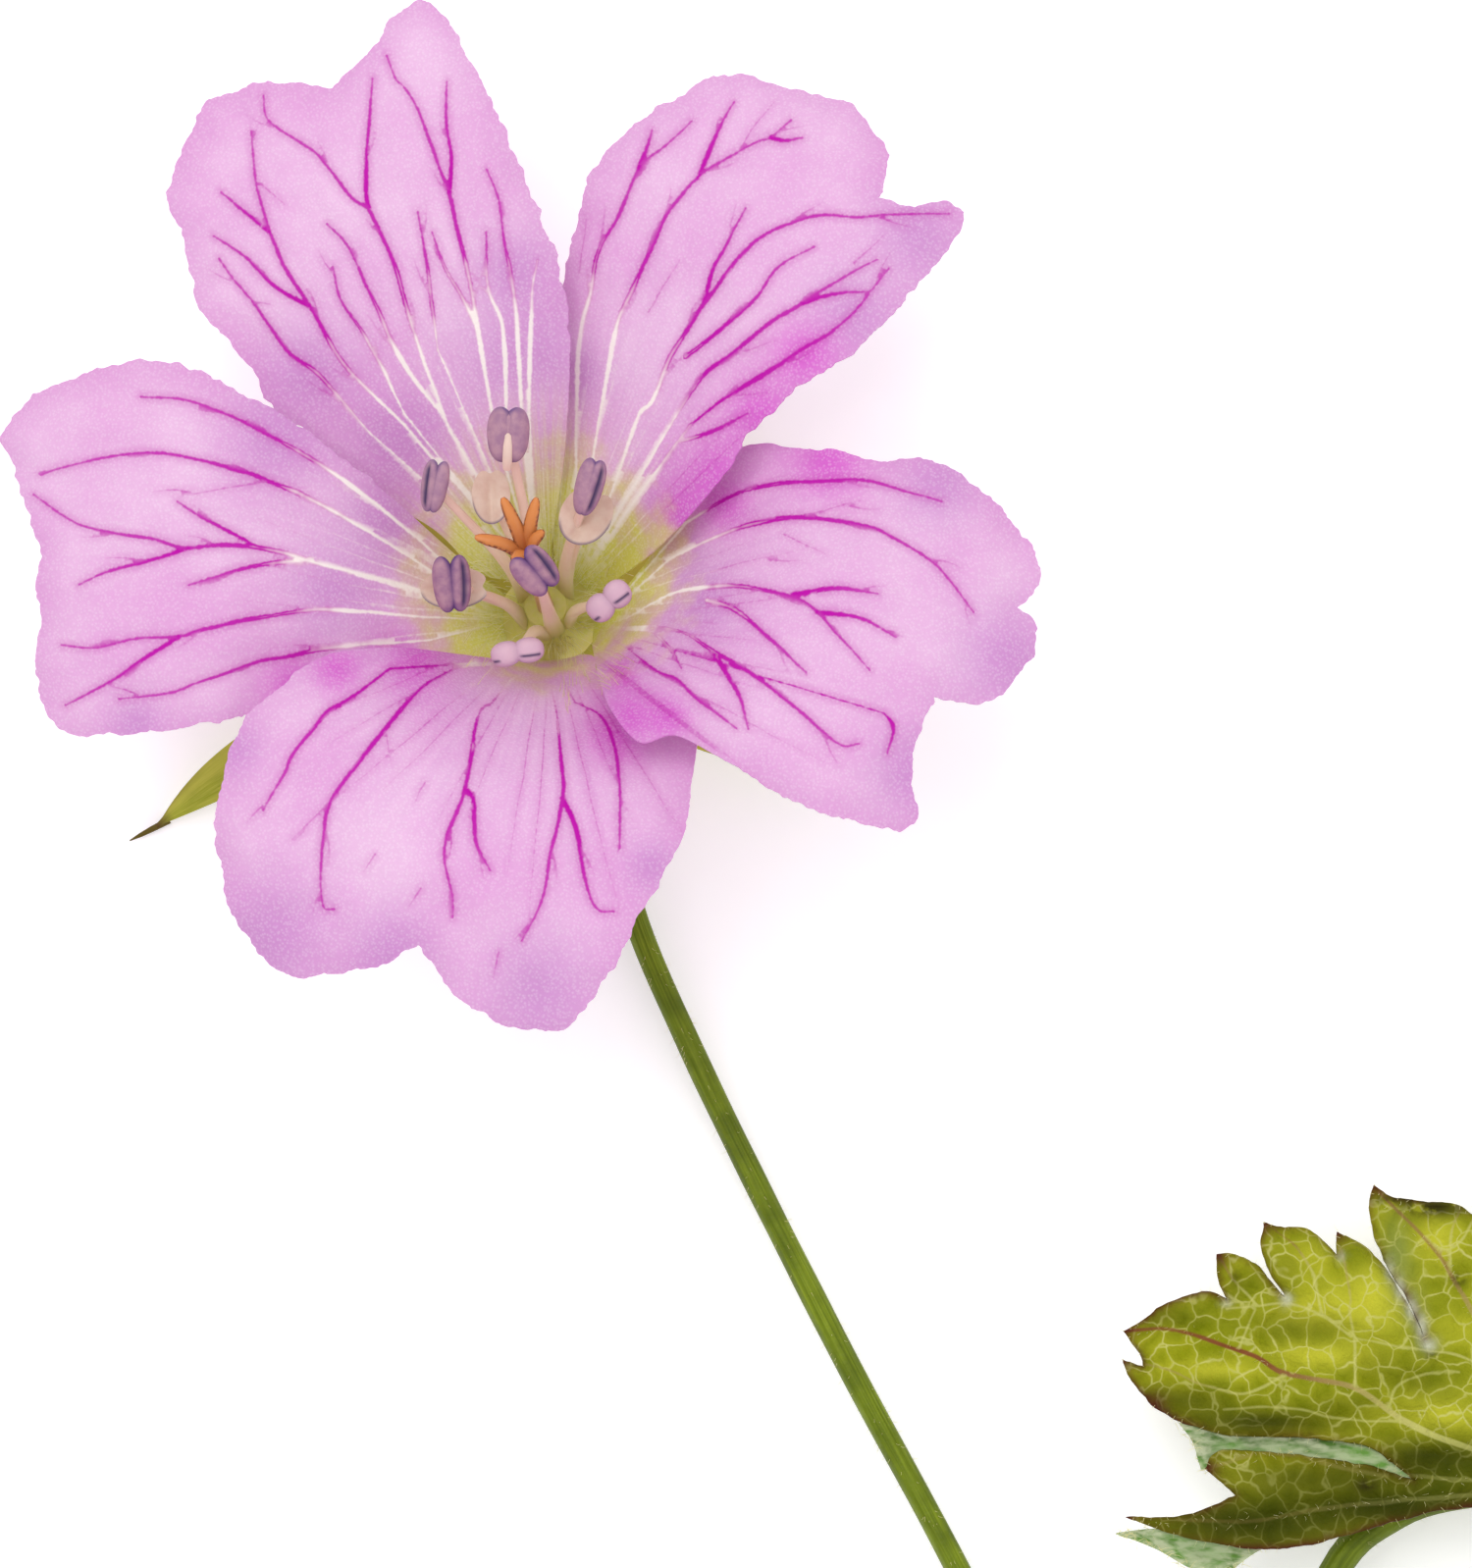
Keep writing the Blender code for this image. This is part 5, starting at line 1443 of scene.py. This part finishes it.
class SPRIG_OT_calyx(bpy.types.Operator):
    """Makes the receptacle and its five ribbed sepals"""
    bl_idname = "sprig.calyx"
    bl_label = "Calyx"

    def execute(self, context):
        settings = look("calyx")
        skin = green_skin("sepal_skin", settings.green, settings.light, settings.dark, 5.0, 0.30)
        shells = Shells("along", "turn", "ruddy", "bright")
        profile = run_of(RECEPTACLE, 0.15)
        path = [in_flower(0.0, 0.0, h) for h, _ in profile]
        points, faces = tube_shell(path, profile[:, 1], profile[:, 1], 28)
        # The receptacle is lightened toward yellow-green all over: painted light
        shells.add(points, faces, along=0.5, turn=[p[0] for p in points], bright=0.7)
        half = settings.thickness / MM / 2.0
        columns, rows = 15, 46
        for number, (bearing, reach, tip_height, wide, bow) in enumerate(SEPALS):
            turn = math.radians(bearing)
            outward = Vector((math.cos(turn), math.sin(turn), 0.0))
            across = Vector((-math.sin(turn), math.cos(turn), 0.0))
            root = in_flower(0.0, 0.0, -1.3)
            tip = outward * reach + Vector((0.0, 0.0, tip_height))
            top, bottom, along, turns, ruddy, bright = [], [], [], [], [], []
            for k in range(rows + 1):
                t = k / rows
                swell = 0.3 + 0.7 * math.sin(math.pi * (0.12 + 0.88 * t))
                width = max(wide * swell * (1.0 - t ** 16), 0.16)
                centre = root.lerp(tip, t)
                centre.z += 0.4 * math.sin(math.pi * t)
                centre += across * bow * t ** 2 * (1.0 - t)
                for i in range(columns):
                    s = 2.0 * i / (columns - 1) - 1.0
                    rib = 0.05 * math.cos(s * math.pi * 3.0) * (1.0 - t) * (width / wide)
                    cup = 0.16 * width * abs(s) ** 1.6
                    thin = max(half * (1.0 - 0.75 * abs(s) ** 3), 0.06) * (1.0 - 0.6 * t ** 4)
                    place = centre + across * (s * width / 2.0) + Vector((0.0, 0.0, cup + rib))
                    top.append(place + Vector((0.0, 0.0, thin)))
                    bottom.append(place - Vector((0.0, 0.0, thin)))
                    along.append(t * 2.0)
                    turns.append(s * 2.2 + number)
                    edge = 0.35 * fade(-s, 0.50, 1.0) * fade(t, 0.80, 0.93)
                    ruddy.append(max(float(edge), 0.9 * float(fade(t, 0.95, 1.0))))
                    # Painted light: one side of each sepal and its root are lightened toward
                    # yellow-green
                    bright.append(0.20 + 0.45 * float(fade(-s, -0.2, 0.5))
                                  + 0.3 * float(1.0 - fade(t, 0.25, 0.8)))
            count = len(top)
            faces = []
            for k in range(rows):
                for i in range(columns - 1):
                    a, b = k * columns + i, k * columns + i + 1
                    c, d = a + columns, b + columns
                    faces += [(a, c, d, b), (count + a, count + b, count + d, count + c)]
                for i, flip in ((0, False), (columns - 1, True)):
                    a, c = k * columns + i, (k + 1) * columns + i
                    wall = (a, count + a, count + c, c)
                    faces.append(tuple(reversed(wall)) if flip else wall)
            for k, flip in ((0, True), (rows, False)):
                for i in range(columns - 1):
                    a, b = k * columns + i, k * columns + i + 1
                    wall = (a, count + a, count + b, b)
                    faces.append(tuple(reversed(wall)) if flip else wall)
            shells.add(top + bottom, faces, along=along * 2, turn=turns * 2,
                       ruddy=ruddy * 2, bright=bright * 2)
            awn = settings.awn / MM
            end = tip + outward * awn
            end.z = max(tip.z - 0.08, 0.12)
            way = [tip - outward * 0.5, tip + outward * 0.2, tip.lerp(end, 0.6), end]
            radii = [0.13, 0.11, 0.08, 0.02]
            shells.add(*tube_shell(way, radii, radii, 8), along=2.0, ruddy=0.7)
        shells.build("Calyx", [skin], "calyx")
        return {"FINISHED"}


class SPRIG_OT_stamens(bpy.types.Operator):
    """Makes the filaments, the anthers and the spent anthers"""
    bl_idname = "sprig.stamens"
    bl_label = "Stamens"

    def filament(self, shells, x, y, h, bulge, pale):
        """One filament, flat and broad at its root."""
        end = over_plan(x, y, h)
        beside = TURN.transposed() @ (end - Vector((0.0, 0.0, FLOWER_Z)))
        away = Vector((beside.x, beside.y, 0.0)).normalized()
        root, bend = away * 0.86, away * (0.86 + bulge)
        path = run_of([in_flower(root.x, root.y, 0.86), in_flower(bend.x, bend.y, h * 0.5),
                       end - Vector((0.0, 0.0, 0.25))], 0.35)
        share = np.linspace(0.0, 1.0, len(path))
        widths = 0.26 * (1.0 - share) ** 2.0 + 0.145
        depths = 0.12 * (1.0 - share) + 0.11
        shells.add(*tube_shell(path, widths, depths, 12, up=TURN @ away), slot=1,
                   along=[*np.repeat(share, 12), 0.0, 1.0], pale=pale)
        return end

    def anther(self, shells, centre, bearing, length, width, apart, pale, slits):
        """One anther: two long lobes side by side, each with its slit."""
        turn = math.radians(bearing)
        along = Vector((math.cos(turn), math.sin(turn), 0.12)).normalized()
        up = Vector((0.0, 0.0, 1.0))
        up = (up - along * up.dot(along)).normalized()
        across = along.cross(up)
        rings, sides = 28, 32
        for side in (-1.0, 1.0):
            middle = centre + across * side * apart / 2.0
            lean = (along + across * side * 0.06).normalized()
            place, wide, deep = [], [], []
            for k in range(rings + 1):
                s = -math.cos(math.pi * k / rings)
                place.append(middle + lean * s * length / 2.0)
                swell = max(1.0 - abs(s) ** 2.5, 0.0) ** 0.5
                wide.append(max(width * (0.58 if slits == 2 else 0.5) * swell, 0.01))
                deep.append(max(width * 0.42 * swell, 0.01))
            open_here = slits == side

            def from_slit(angle):
                return (angle - math.pi / 2.0 + side * 0.45 + math.pi) % math.tau - math.pi

            def groove(k, angle):
                return 1.0 - 0.20 * open_here * math.exp(-(from_slit(angle) / 0.22) ** 2)

            points, faces = tube_shell(place, wide, deep, sides, up=up, groove=groove)
            slit, edge = [], []
            for k in range(rings + 1):
                s = -math.cos(math.pi * k / rings)
                for i in range(sides):
                    angle = math.tau * i / sides
                    if slits == 2:
                        middle_at, spread = (1.45, 0.80) if side > 0.0 else (2.45, 0.40)
                        line = math.exp(-((s + 0.35) / 0.12) ** 2) * float(
                            fade(spread - abs(angle - middle_at), 0.0, 0.15))
                    else:
                        line = math.exp(-(from_slit(angle) / 0.30) ** 2) * open_here
                        line *= float(fade(1.0 - abs(s), 0.02, 0.4))
                    slit.append(line)
                    # Painted shade on each lobe's outer side and at its ends
                    outer = -side * math.cos(angle)
                    edge.append(min(1.0, 0.9 * float(fade(outer, 0.25, 0.95))
                                    + 0.6 * float(fade(abs(s), 0.75, 1.0))))
            shells.add(points, faces, slit=slit + [0.0, 0.0], edge=edge + [0.6, 0.6], pale=pale)
        inner = 0.20 if slits else 0.42
        place = [centre + along * length * inner * (k / 5.0 - 1.0) for k in range(11)]
        swell = [max(1.0 - (k / 5.0 - 1.0) ** 4, 0.02) ** 0.5 for k in range(11)]
        fill = 0.22 if slits else 0.36
        # The fill between lobes that show slits carries a little painted shade
        shells.add(*tube_shell(place, [width * fill * w for w in swell],
                               [width * (fill + 0.02) * w for w in swell], 12, up=up),
                   edge=0.3 if slits else 0.0, pale=pale)
        if not slits:
            back = [centre + along * length * at + up * lift for at, lift in (
                (-0.62, -0.10), (-0.45, 0.30), (-0.2, 0.40), (0.0, 0.36), (0.10, 0.26))]
            shells.add(*tube_shell(back, [0.15, 0.17, 0.16, 0.12, 0.04],
                                   [0.10, 0.10, 0.09, 0.07, 0.02], 12, up=up),
                       slot=1, along=0.8)

    def plate(self, shells, centre, bearing, length, width):
        """One spent anther, opened into a cupped plate with a notch."""
        turn = math.radians(bearing)
        along = Vector((math.cos(turn), math.sin(turn), 0.0))
        across = Vector((-math.sin(turn), math.cos(turn), 0.0))
        rings, sides = 9, 48
        top, bottom, edge = [], [], []
        for k in range(1, rings + 1):
            r = k / rings
            for i in range(sides):
                angle = math.tau * i / sides
                from_notch = (angle + math.pi) % math.tau - math.pi
                notch = 1.0 - 0.22 * math.exp(-(from_notch / 0.30) ** 2)
                a = r * notch * math.cos(angle) * length / 2.0
                b = r * notch * math.sin(angle) * width / 2.0
                z = 0.22 * r ** 2 - 0.16 * math.exp(-(b / 0.16) ** 2)
                place = centre + along * a + across * b + Vector((0.0, 0.0, z))
                thin = Vector((0.0, 0.0, 0.06 * (1.0 - 0.5 * r)))
                top.append(place + thin)
                bottom.append(place - thin)
                # Painted shade along the rim, only on the side towards the cut end
                low = fade(centre.y - place.y, 0.0, 0.5)
                edge.append(0.8 * float(fade(r, 0.93, 1.0) * low))
        count = len(top)
        last = count - sides
        faces = []
        for a in range(last):
            b = a + 1 if (a + 1) % sides else a + 1 - sides
            c, d = a + sides, b + sides
            faces += [(a, c, d, b), (count + a, count + b, count + d, count + c)]
        faces.append(tuple(range(sides)))
        faces.append(tuple(count + i for i in reversed(range(sides))))
        for a in range(last, count):
            b = a + 1 if a + 1 < count else last
            faces.append((a, count + a, count + b, b))
        shells.add(top + bottom, faces, slot=2, edge=edge * 2)

    def execute(self, context):
        settings = look("stamen")
        materials = [anther_skin(settings), filament_flesh(settings),
                     spent_anther_paper(settings)]
        shells = Shells("slit", "edge", "pale", "along")
        ring = [in_flower(0.0, 0.0, h) for h in (0.30, 0.62, 1.1, 1.5)]
        wide = [1.80, 1.50, 1.05, 0.75]
        shells.add(*tube_shell(ring, wide, wide, 32), slot=1)
        for x, y, h, bulge, bearing, length, width, apart, pale, slits in STAMENS:
            end = self.filament(shells, x, y, h, bulge, pale)
            self.anther(shells, end, bearing, length, width, apart, pale, slits)
        for x, y, h, bearing, length, width in SPENT_ANTHERS:
            end = self.filament(shells, x, y, h, 0.45, 0.5)
            self.plate(shells, end, bearing, length, width)
        shells.build("Stamens", materials, "stamens")
        return {"FINISHED"}


class SPRIG_OT_pistil(bpy.types.Operator):
    """Makes the style and its five stigma branches"""
    bl_idname = "sprig.pistil"
    bl_label = "Pistil"

    def execute(self, context):
        settings = look("pistil")
        flesh = stigma_flesh(settings)
        shells = Shells("along", "edge")
        path = [in_flower(0.0, 0.0, STYLE_FROM + (STYLE_TOP - STYLE_FROM) * k / 14)
                for k in range(15)]
        radii = [0.30 - 0.04 * math.sin(math.pi * k / 14) for k in range(15)]
        along = [k / 14 * 0.8 for k in range(15) for _ in range(16)] + [0.0, 0.8]
        shells.add(*tube_shell(path, radii, radii, 16), along=along)
        for u, v, h in STIGMA_TIPS:
            start = in_flower(u * 0.08, v * 0.08, STYLE_TOP - 0.35)
            tip = in_flower(u, v, h)
            bend = in_flower(u * 0.42, v * 0.42, STYLE_TOP + (h - STYLE_TOP) * 0.62)
            line = run_of([start, bend, tip], 0.12)
            share = np.linspace(0.0, 1.0, len(line))
            widths = 0.30 * (1.0 - 0.25 * share) * np.sqrt(1.0 - share ** 8 * 0.9)
            beside = (TURN @ Vector((u, v, 0.0))).normalized()
            facing = ((TURN @ Vector((0.0, 0.0, 1.0))) - beside * 0.3).normalized()
            # Painted shade along each branch's two sides
            edge = [float(fade(abs(math.cos(math.tau * i / 14)), 0.55, 1.0))
                    for _ in line for i in range(14)] + [1.0, 1.0]
            along = [0.8 + 0.2 * s for s in share for _ in range(14)] + [0.8, 1.0]
            shells.add(*tube_shell(line, widths, widths * 0.62, 14, up=facing), along=along,
                       edge=edge)
        shells.build("Pistil", [flesh], "pistil")
        return {"FINISHED"}


class SPRIG_OT_stalks(bpy.types.Operator):
    """Makes the flower stalk, the stem node, the cut stem and the leaf stalk"""
    bl_idname = "sprig.stalks"
    bl_label = "Stalks"

    def execute(self, context):
        settings = look("stem")
        skin = green_skin("stalk_skin", settings.green, settings.light, settings.dark, 2.2, 0.0)
        shells = Shells("along", "turn", "ruddy", "bright")
        draw = random.Random(5)

        def stalk(points, radius, sides, ridges, flare=None):
            line = run_of(points, 0.45)
            share = np.linspace(0.0, 1.0, len(line))
            widths = radius * (1.0 + 0.03 * wander(line[:, 0], line[:, 1], 0.35, 4.0))
            if flare is not None:
                widths = widths * flare(share)
            phase = draw.uniform(0.0, 6.0)

            def ridge(k, turn):
                return 1.0 + 0.035 * math.cos(ridges * turn + phase)

            long = np.linalg.norm(np.diff(line, axis=0), axis=1).sum()
            turn = [3.0 * math.sin(math.tau * i / sides) for _ in line for i in range(sides)]
            shells.add(*tube_shell(line, widths, widths, sides, groove=ridge),
                       along=[*np.repeat(share * long * 0.12, sides), 0.0, long * 0.12],
                       turn=turn + [0.0, 0.0])

        neck = [in_flower(0.0, 0.0, STALK_FROM), in_flower(0.0, 0.0, STALK_FROM - 1.5)]
        stalk(neck + FLOWER_STALK, settings.stalk_width / MM, 20, 7,
              flare=lambda s: 1.0 + 0.25 * np.exp(-(s / 0.02) ** 2))
        stalk(CUT_STEM, settings.cut_width / MM, 28, 9)
        stalk(PETIOLE, settings.petiole_width / MM, 22, 7,
              flare=lambda s: 1.0 - 0.4 * fade(s, 0.93, 1.0))
        along = (Vector(CUT_STEM[1]) - Vector(CUT_STEM[0])).normalized()
        rings = 16
        path = [Vector(CUT_STEM[0]) - along * 1.8 * math.cos(math.pi * k / rings)
                for k in range(rings + 1)]
        radii = [max(settings.node_width / MM * math.sin(math.pi * k / rings) ** 0.8, 0.02)
                 for k in range(rings + 1)]
        points, faces = tube_shell(path, radii, radii, 28)
        shells.add(points, faces, along=0.3, turn=[p[0] * 2.0 for p in points], ruddy=0.35)
        shells.build("Stalks", [skin], "stem")
        return {"FINISHED"}


class SPRIG_OT_leaf(bpy.types.Operator):
    """Makes the toothed, netted leaf blade"""
    bl_idname = "sprig.leaf"
    bl_label = "Leaf"

    def execute(self, context):
        settings = look("leaf")
        tissue = leaf_tissue(settings)
        step = settings.mesh_step / MM
        outline = outline_of(LEAF_OUTLINE, 0.14)
        outline = scalloped(outline, 0.06, LEAF_CENTRE, 3.0, 77.0)
        veins, tips = leaf_veins(settings.vein_width / MM)

        def ripple(a, b):
            return 0.12 * wander(a, b, 0.5, 21.0) + 0.10 * wander(a, b, 1.4, 29.0)

        plan, triangles = plan_mesh(outline, veins.lines, step)
        gap, strength, vein_red = veins.measure(plan, VEIN_REACH)
        rim, _ = nearest(tree_of(outline), plan)
        tip_away, _ = nearest(tree_of(tips), plan)
        x, y = plan[:, 0], plan[:, 1]
        middle, normal, half, faces = sheet_shell(plan, triangles, leaf_height,
                                                  thinned(settings, rim))
        wave = 0.22 * (1.0 - np.exp(-(np.maximum(gap, 0.0) / 0.5) ** 2))
        wave += ripple(x, y) - 0.20 * np.exp(-rim / 0.35)
        middle = middle + normal * wave[:, None]
        patchy = 0.4 + 0.6 * fade(wander(x, y, 0.35, 3.0), -0.25, 0.35)
        red = np.maximum(np.exp(-(tip_away / 0.50) ** 2), 0.9 * np.exp(-rim / 0.14) * patchy)
        held = {
            "vein_gap": gap, "vein_strength": strength, "vein_red": vein_red,
            "red": np.clip(red, 0.0, 1.0),
        }
        # dark and pale hold painted shade and painted light; felt holds greyish painted shade
        for key, spots in (("dark", LEAF_SHADE), ("pale", LEAF_LIGHT), ("burnt", LEAF_BURNT),
                           ("felt", LEAF_FLANK_SHADE), ("white", LEAF_WHITE)):
            held[key] = soft_areas(x, y, spots)
        shells = Shells(*held, "rim")
        shells.add_blade(middle, half, faces, **held)

        # Turned-down parts of the margin, which show the blade's underside
        def hung(a, b, low):
            spots = np.stack([a, b], axis=1)
            away = np.where(inside(spots, outline), 0.0, nearest(tree_of(outline), spots)[0])
            drop = 0.30 + (low - 0.30) * fade(away, 0.0, 0.9)
            return leaf_height(a, b) - drop + ripple(a, b)

        for points, low in LEAF_TURNS:
            rim_line = outline_of(points, 0.14)
            plan, triangles = plan_mesh(rim_line, [], step * 1.2)
            away, _ = nearest(tree_of(rim_line), plan)
            thick = 0.10 + 0.14 * (1.0 - np.exp(-away / 0.4))
            middle, normal, half, faces = sheet_shell(
                plan, triangles, lambda a, b: hung(a, b, low), thick)
            x, y = plan[:, 0], plan[:, 1]
            crease = 0.06 * wander(x * 0.4, y * 2.2, 1.0, 8.0)
            shells.add_blade(middle + normal * crease[:, None], half, faces, slot=1, rim=away,
                             vein_gap=np.full(len(away), VEIN_REACH))
        shells.build("Leaf_blade", [tissue, leaf_underside(settings)], "leaf_blade")
        return {"FINISHED"}


class SPRIG_OT_hairs(bpy.types.Operator):
    """Makes the hairs of the throat, the stalks and the leaf"""
    bl_idname = "sprig.hairs"
    bl_label = "Hairs"

    def throat_hairs(self, settings, wax, draw):
        """Hairs at the petals' claws and around the filaments' ring."""
        shells = Shells()
        long, radius = settings.throat_length / MM, settings.radius / MM
        for petal in PETALS.values():
            start, end = petal["bearings"]
            for _ in range(CLAW_HAIRS):
                lateral = draw.choice((-1.0, 1.0)) * draw.uniform(0.45, 0.97)
                bearing = math.radians(start + (end - start) * (lateral + 1.0) / 2.0)
                out = draw.uniform(1.8, 3.5)
                x, y = out * math.cos(bearing), out * math.sin(bearing)
                z, _, _ = petal_field(petal, np.array([x]), np.array([y]))
                root = Vector((x, y, float(z[0])))
                inward = Vector((-x, -y, 0.0)).normalized()
                lean = (FLOWER_AXIS * draw.uniform(0.3, 0.7) + inward * draw.uniform(0.5, 1.0)
                        + inward.cross(FLOWER_AXIS) * -lateral * draw.uniform(0.0, 0.8))
                tip = root + lean.normalized() * long * draw.uniform(0.45, 1.0)
                shells.add_hair(root, tip, FLOWER_AXIS * 0.10 * long, radius)
        for _ in range(RING_HAIRS):
            turn = math.radians(draw.gauss(-50.0, 42.0))
            root = in_flower(1.0 * math.cos(turn), 1.0 * math.sin(turn), draw.uniform(0.2, 1.2))
            tip = in_flower(draw.uniform(1.8, 2.6) * math.cos(turn + draw.uniform(-0.3, 0.3)),
                            draw.uniform(1.8, 2.6) * math.sin(turn + draw.uniform(-0.3, 0.3)),
                            draw.uniform(1.2, 2.2))
            shells.add_hair(root, tip, FLOWER_AXIS * 0.16, radius)
        shells.build("Throat_hairs", [wax], "petal_lower", stands_for=False)

    def stem_hairs(self, settings, wax, draw):
        """Hairs along both stalks, on the sides that show."""
        shells = Shells()
        long = settings.stem_length / MM
        ways = [(FLOWER_STALK, look("stem").stalk_width / MM, STALK_HAIRS),
                (PETIOLE, look("stem").petiole_width / MM, PETIOLE_HAIRS)]
        for points, radius, count in ways:
            line = run_of(points, 0.2)
            for _ in range(count):
                k = draw.randrange(2, len(line) - 2)
                centre, along = Vector(line[k]), Vector(line[k + 1] - line[k - 1]).normalized()
                side = along.orthogonal().normalized()
                turn = draw.uniform(0.0, math.tau)
                outward = side * math.cos(turn) + along.cross(side) * math.sin(turn)
                if outward.z < -0.5:
                    continue
                root = centre + outward * radius * 0.9
                tip = root + (outward + along * draw.uniform(0.1, 0.7)).normalized() * (
                    long * draw.uniform(0.5, 1.2))
                shells.add_hair(root, tip, along * 0.03, settings.radius / MM * 0.7)
        shells.build("Stalk_hairs", [wax], "stem", stands_for=False)

    def leaf_hairs(self, settings, wax, draw):
        """Hairs along the leaf's rim, its turned-down margins and its ribs."""
        shells = Shells()
        long, radius = settings.leaf_length / MM, settings.radius / MM
        outline = outline_of(LEAF_OUTLINE, 0.3)
        for k in range(len(outline)):
            if draw.random() < 0.45:
                continue
            x, y = outline[k]
            ahead = outline[(k + 1) % len(outline)] - outline[k - 1]
            outward = Vector((ahead[1], -ahead[0], 0.0)).normalized()
            root = Vector((x, y, leaf_height_at(x, y))) - outward * 0.1
            lean = outward + drawn(draw, (-0.6, 0.6), (-0.6, 0.6), (-0.2, 0.7))
            tip = root + lean.normalized() * (long * draw.uniform(0.3, 0.8))
            shells.add_hair(root, tip, Vector((0.0, 0.0, 0.03)), radius * 0.7)
        for points, low in LEAF_TURNS:
            line = outline_of(points, 0.09)
            for x, y in line:
                x, y = x + draw.uniform(-0.12, 0.12), y + draw.uniform(-0.12, 0.12)
                z = leaf_height_at(x, y) - low * 0.8 + 0.10
                root = Vector((x, y, z))
                lean = drawn(draw, (-1.0, 1.0), (-0.5, 0.5), (0.0, 0.5)).normalized()
                tip = root + lean * long * draw.uniform(0.5, 1.1)
                shells.add_hair(root, tip, Vector((0.0, 0.04, 0.03)), radius)
        for points, _, _ in LEAF_RIBS:
            line = run_of(points, 0.22)
            for k in range(2, len(line) - 2):
                x, y = line[k][:2]
                z = leaf_height_at(x, y) + 0.12
                root = Vector((x + draw.uniform(-0.25, 0.25), y + draw.uniform(-0.25, 0.25), z))
                lean = drawn(draw, (-0.6, 0.6), (-0.6, 0.6), (0.4, 1.0)).normalized()
                tip = root + lean * (long * draw.uniform(0.4, 0.9))
                shells.add_hair(root, tip, Vector((0.03, 0.0, 0.0)), radius * 0.7)
        shells.build("Leaf_hairs", [wax], "leaf_blade", stands_for=False)

    def execute(self, context):
        settings = look("hair")
        wax = hair_wax(settings)
        self.throat_hairs(settings, wax, random.Random(21))
        self.stem_hairs(settings, wax, random.Random(22))
        self.leaf_hairs(settings, wax, random.Random(23))
        return {"FINISHED"}


class SPRIG_OT_stage(bpy.types.Operator):
    """Makes the floor, the light and the camera"""
    bl_idname = "sprig.stage"
    bl_label = "Stage"

    def execute(self, context):
        settings = look("stage")
        scene = context.scene
        scene.view_settings.view_transform = "Standard"
        mesh = bpy.data.meshes.new("Floor")
        wide = 2.5
        mesh.from_pydata([(-wide, -wide, 0.0), (wide, -wide, 0.0), (wide, wide, 0.0),
                          (-wide, wide, 0.0)], [], [(0, 1, 2, 3)])
        mesh.materials.append(sweep_paper(settings.floor, settings.glow))
        floor = bpy.data.objects.new("Floor", mesh)
        scene.collection.objects.link(floor)

        world = bpy.data.worlds.new("Studio_sky")
        world.use_nodes = True
        back = world.node_tree.nodes["Background"]
        back.inputs["Color"].default_value = (1.0, 1.0, 1.0, 1.0)
        back.inputs["Strength"].default_value = settings.sky
        scene.world = world
        for name, place, size, power in (
                ("Softbox", (-0.16, 0.22, 0.58), 0.44, settings.key),
                ("Fill", (0.42, -0.20, 0.40), 0.40, settings.key * 0.25)):
            lamp = bpy.data.lights.new(name, "AREA")
            lamp.size = size
            lamp.energy = power
            obj = bpy.data.objects.new(name, lamp)
            obj.location = place
            aim = Vector((-0.010, 0.012, 0.005)) - Vector(place)
            obj.rotation_euler = aim.to_track_quat("-Z", "Y").to_euler()
            scene.collection.objects.link(obj)

        camera = bpy.data.cameras.new("Camera")
        camera.sensor_fit = "VERTICAL"
        camera.sensor_height = SENSOR_HEIGHT
        camera.lens = settings.lens
        camera.clip_end = 20.0
        away = settings.lens / SENSOR_HEIGHT * FRAME_HEIGHT
        x, y, z = FRAME_MIDDLE
        view = bpy.data.objects.new("Camera", camera)
        view.location = ((FLOWER_X + x) * MM, (FLOWER_Y + y) * MM, (z + away) * MM)
        scene.collection.objects.link(view)
        scene.camera = view
        return {"FINISHED"}


class SPRIG_PT_panel(bpy.types.Panel):
    """The sprig's pieces, in the 3D view's sidebar"""
    bl_idname = "SPRIG_PT_panel"
    bl_label = "Geranium sprig"
    bl_space_type = "VIEW_3D"
    bl_region_type = "UI"
    bl_category = "Sprig"

    def draw(self, context):
        for operator, kind in PIECES:
            box = self.layout.box()
            box.operator(operator.bl_idname)
            settings = look(kind)
            for name in settings.bl_rna.properties.keys():
                if name not in ("rna_type", "name"):
                    box.prop(settings, name)


PIECES = [
    (SPRIG_OT_petals, "petal"),
    (SPRIG_OT_calyx, "calyx"),
    (SPRIG_OT_stamens, "stamen"),
    (SPRIG_OT_pistil, "pistil"),
    (SPRIG_OT_stalks, "stem"),
    (SPRIG_OT_leaf, "leaf"),
    (SPRIG_OT_hairs, "hair"),
    (SPRIG_OT_stage, "stage"),
]
GROUPS = {
    "petal": PetalLook, "calyx": CalyxLook, "stamen": StamenLook, "pistil": PistilLook,
    "stem": StemLook, "leaf": LeafLook, "hair": HairLook, "stage": StageLook,
}


def register():
    for kind, group in GROUPS.items():
        bpy.utils.register_class(group)
        setattr(bpy.types.Scene, "sprig_" + kind, bpy.props.PointerProperty(type=group))
    for operator, _ in PIECES:
        bpy.utils.register_class(operator)
    bpy.utils.register_class(SPRIG_PT_panel)


def unregister():
    bpy.utils.unregister_class(SPRIG_PT_panel)
    for operator, _ in reversed(PIECES):
        bpy.utils.unregister_class(operator)
    for kind, group in reversed(GROUPS.items()):
        delattr(bpy.types.Scene, "sprig_" + kind)
        bpy.utils.unregister_class(group)


def main():
    """Registers the add-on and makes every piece."""
    register()
    bpy.ops.sprig.petals()
    bpy.ops.sprig.calyx()
    bpy.ops.sprig.stamens()
    bpy.ops.sprig.pistil()
    bpy.ops.sprig.stalks()
    bpy.ops.sprig.leaf()
    bpy.ops.sprig.hairs()
    bpy.ops.sprig.stage()
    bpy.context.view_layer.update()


if __name__ == "__main__":
    main()
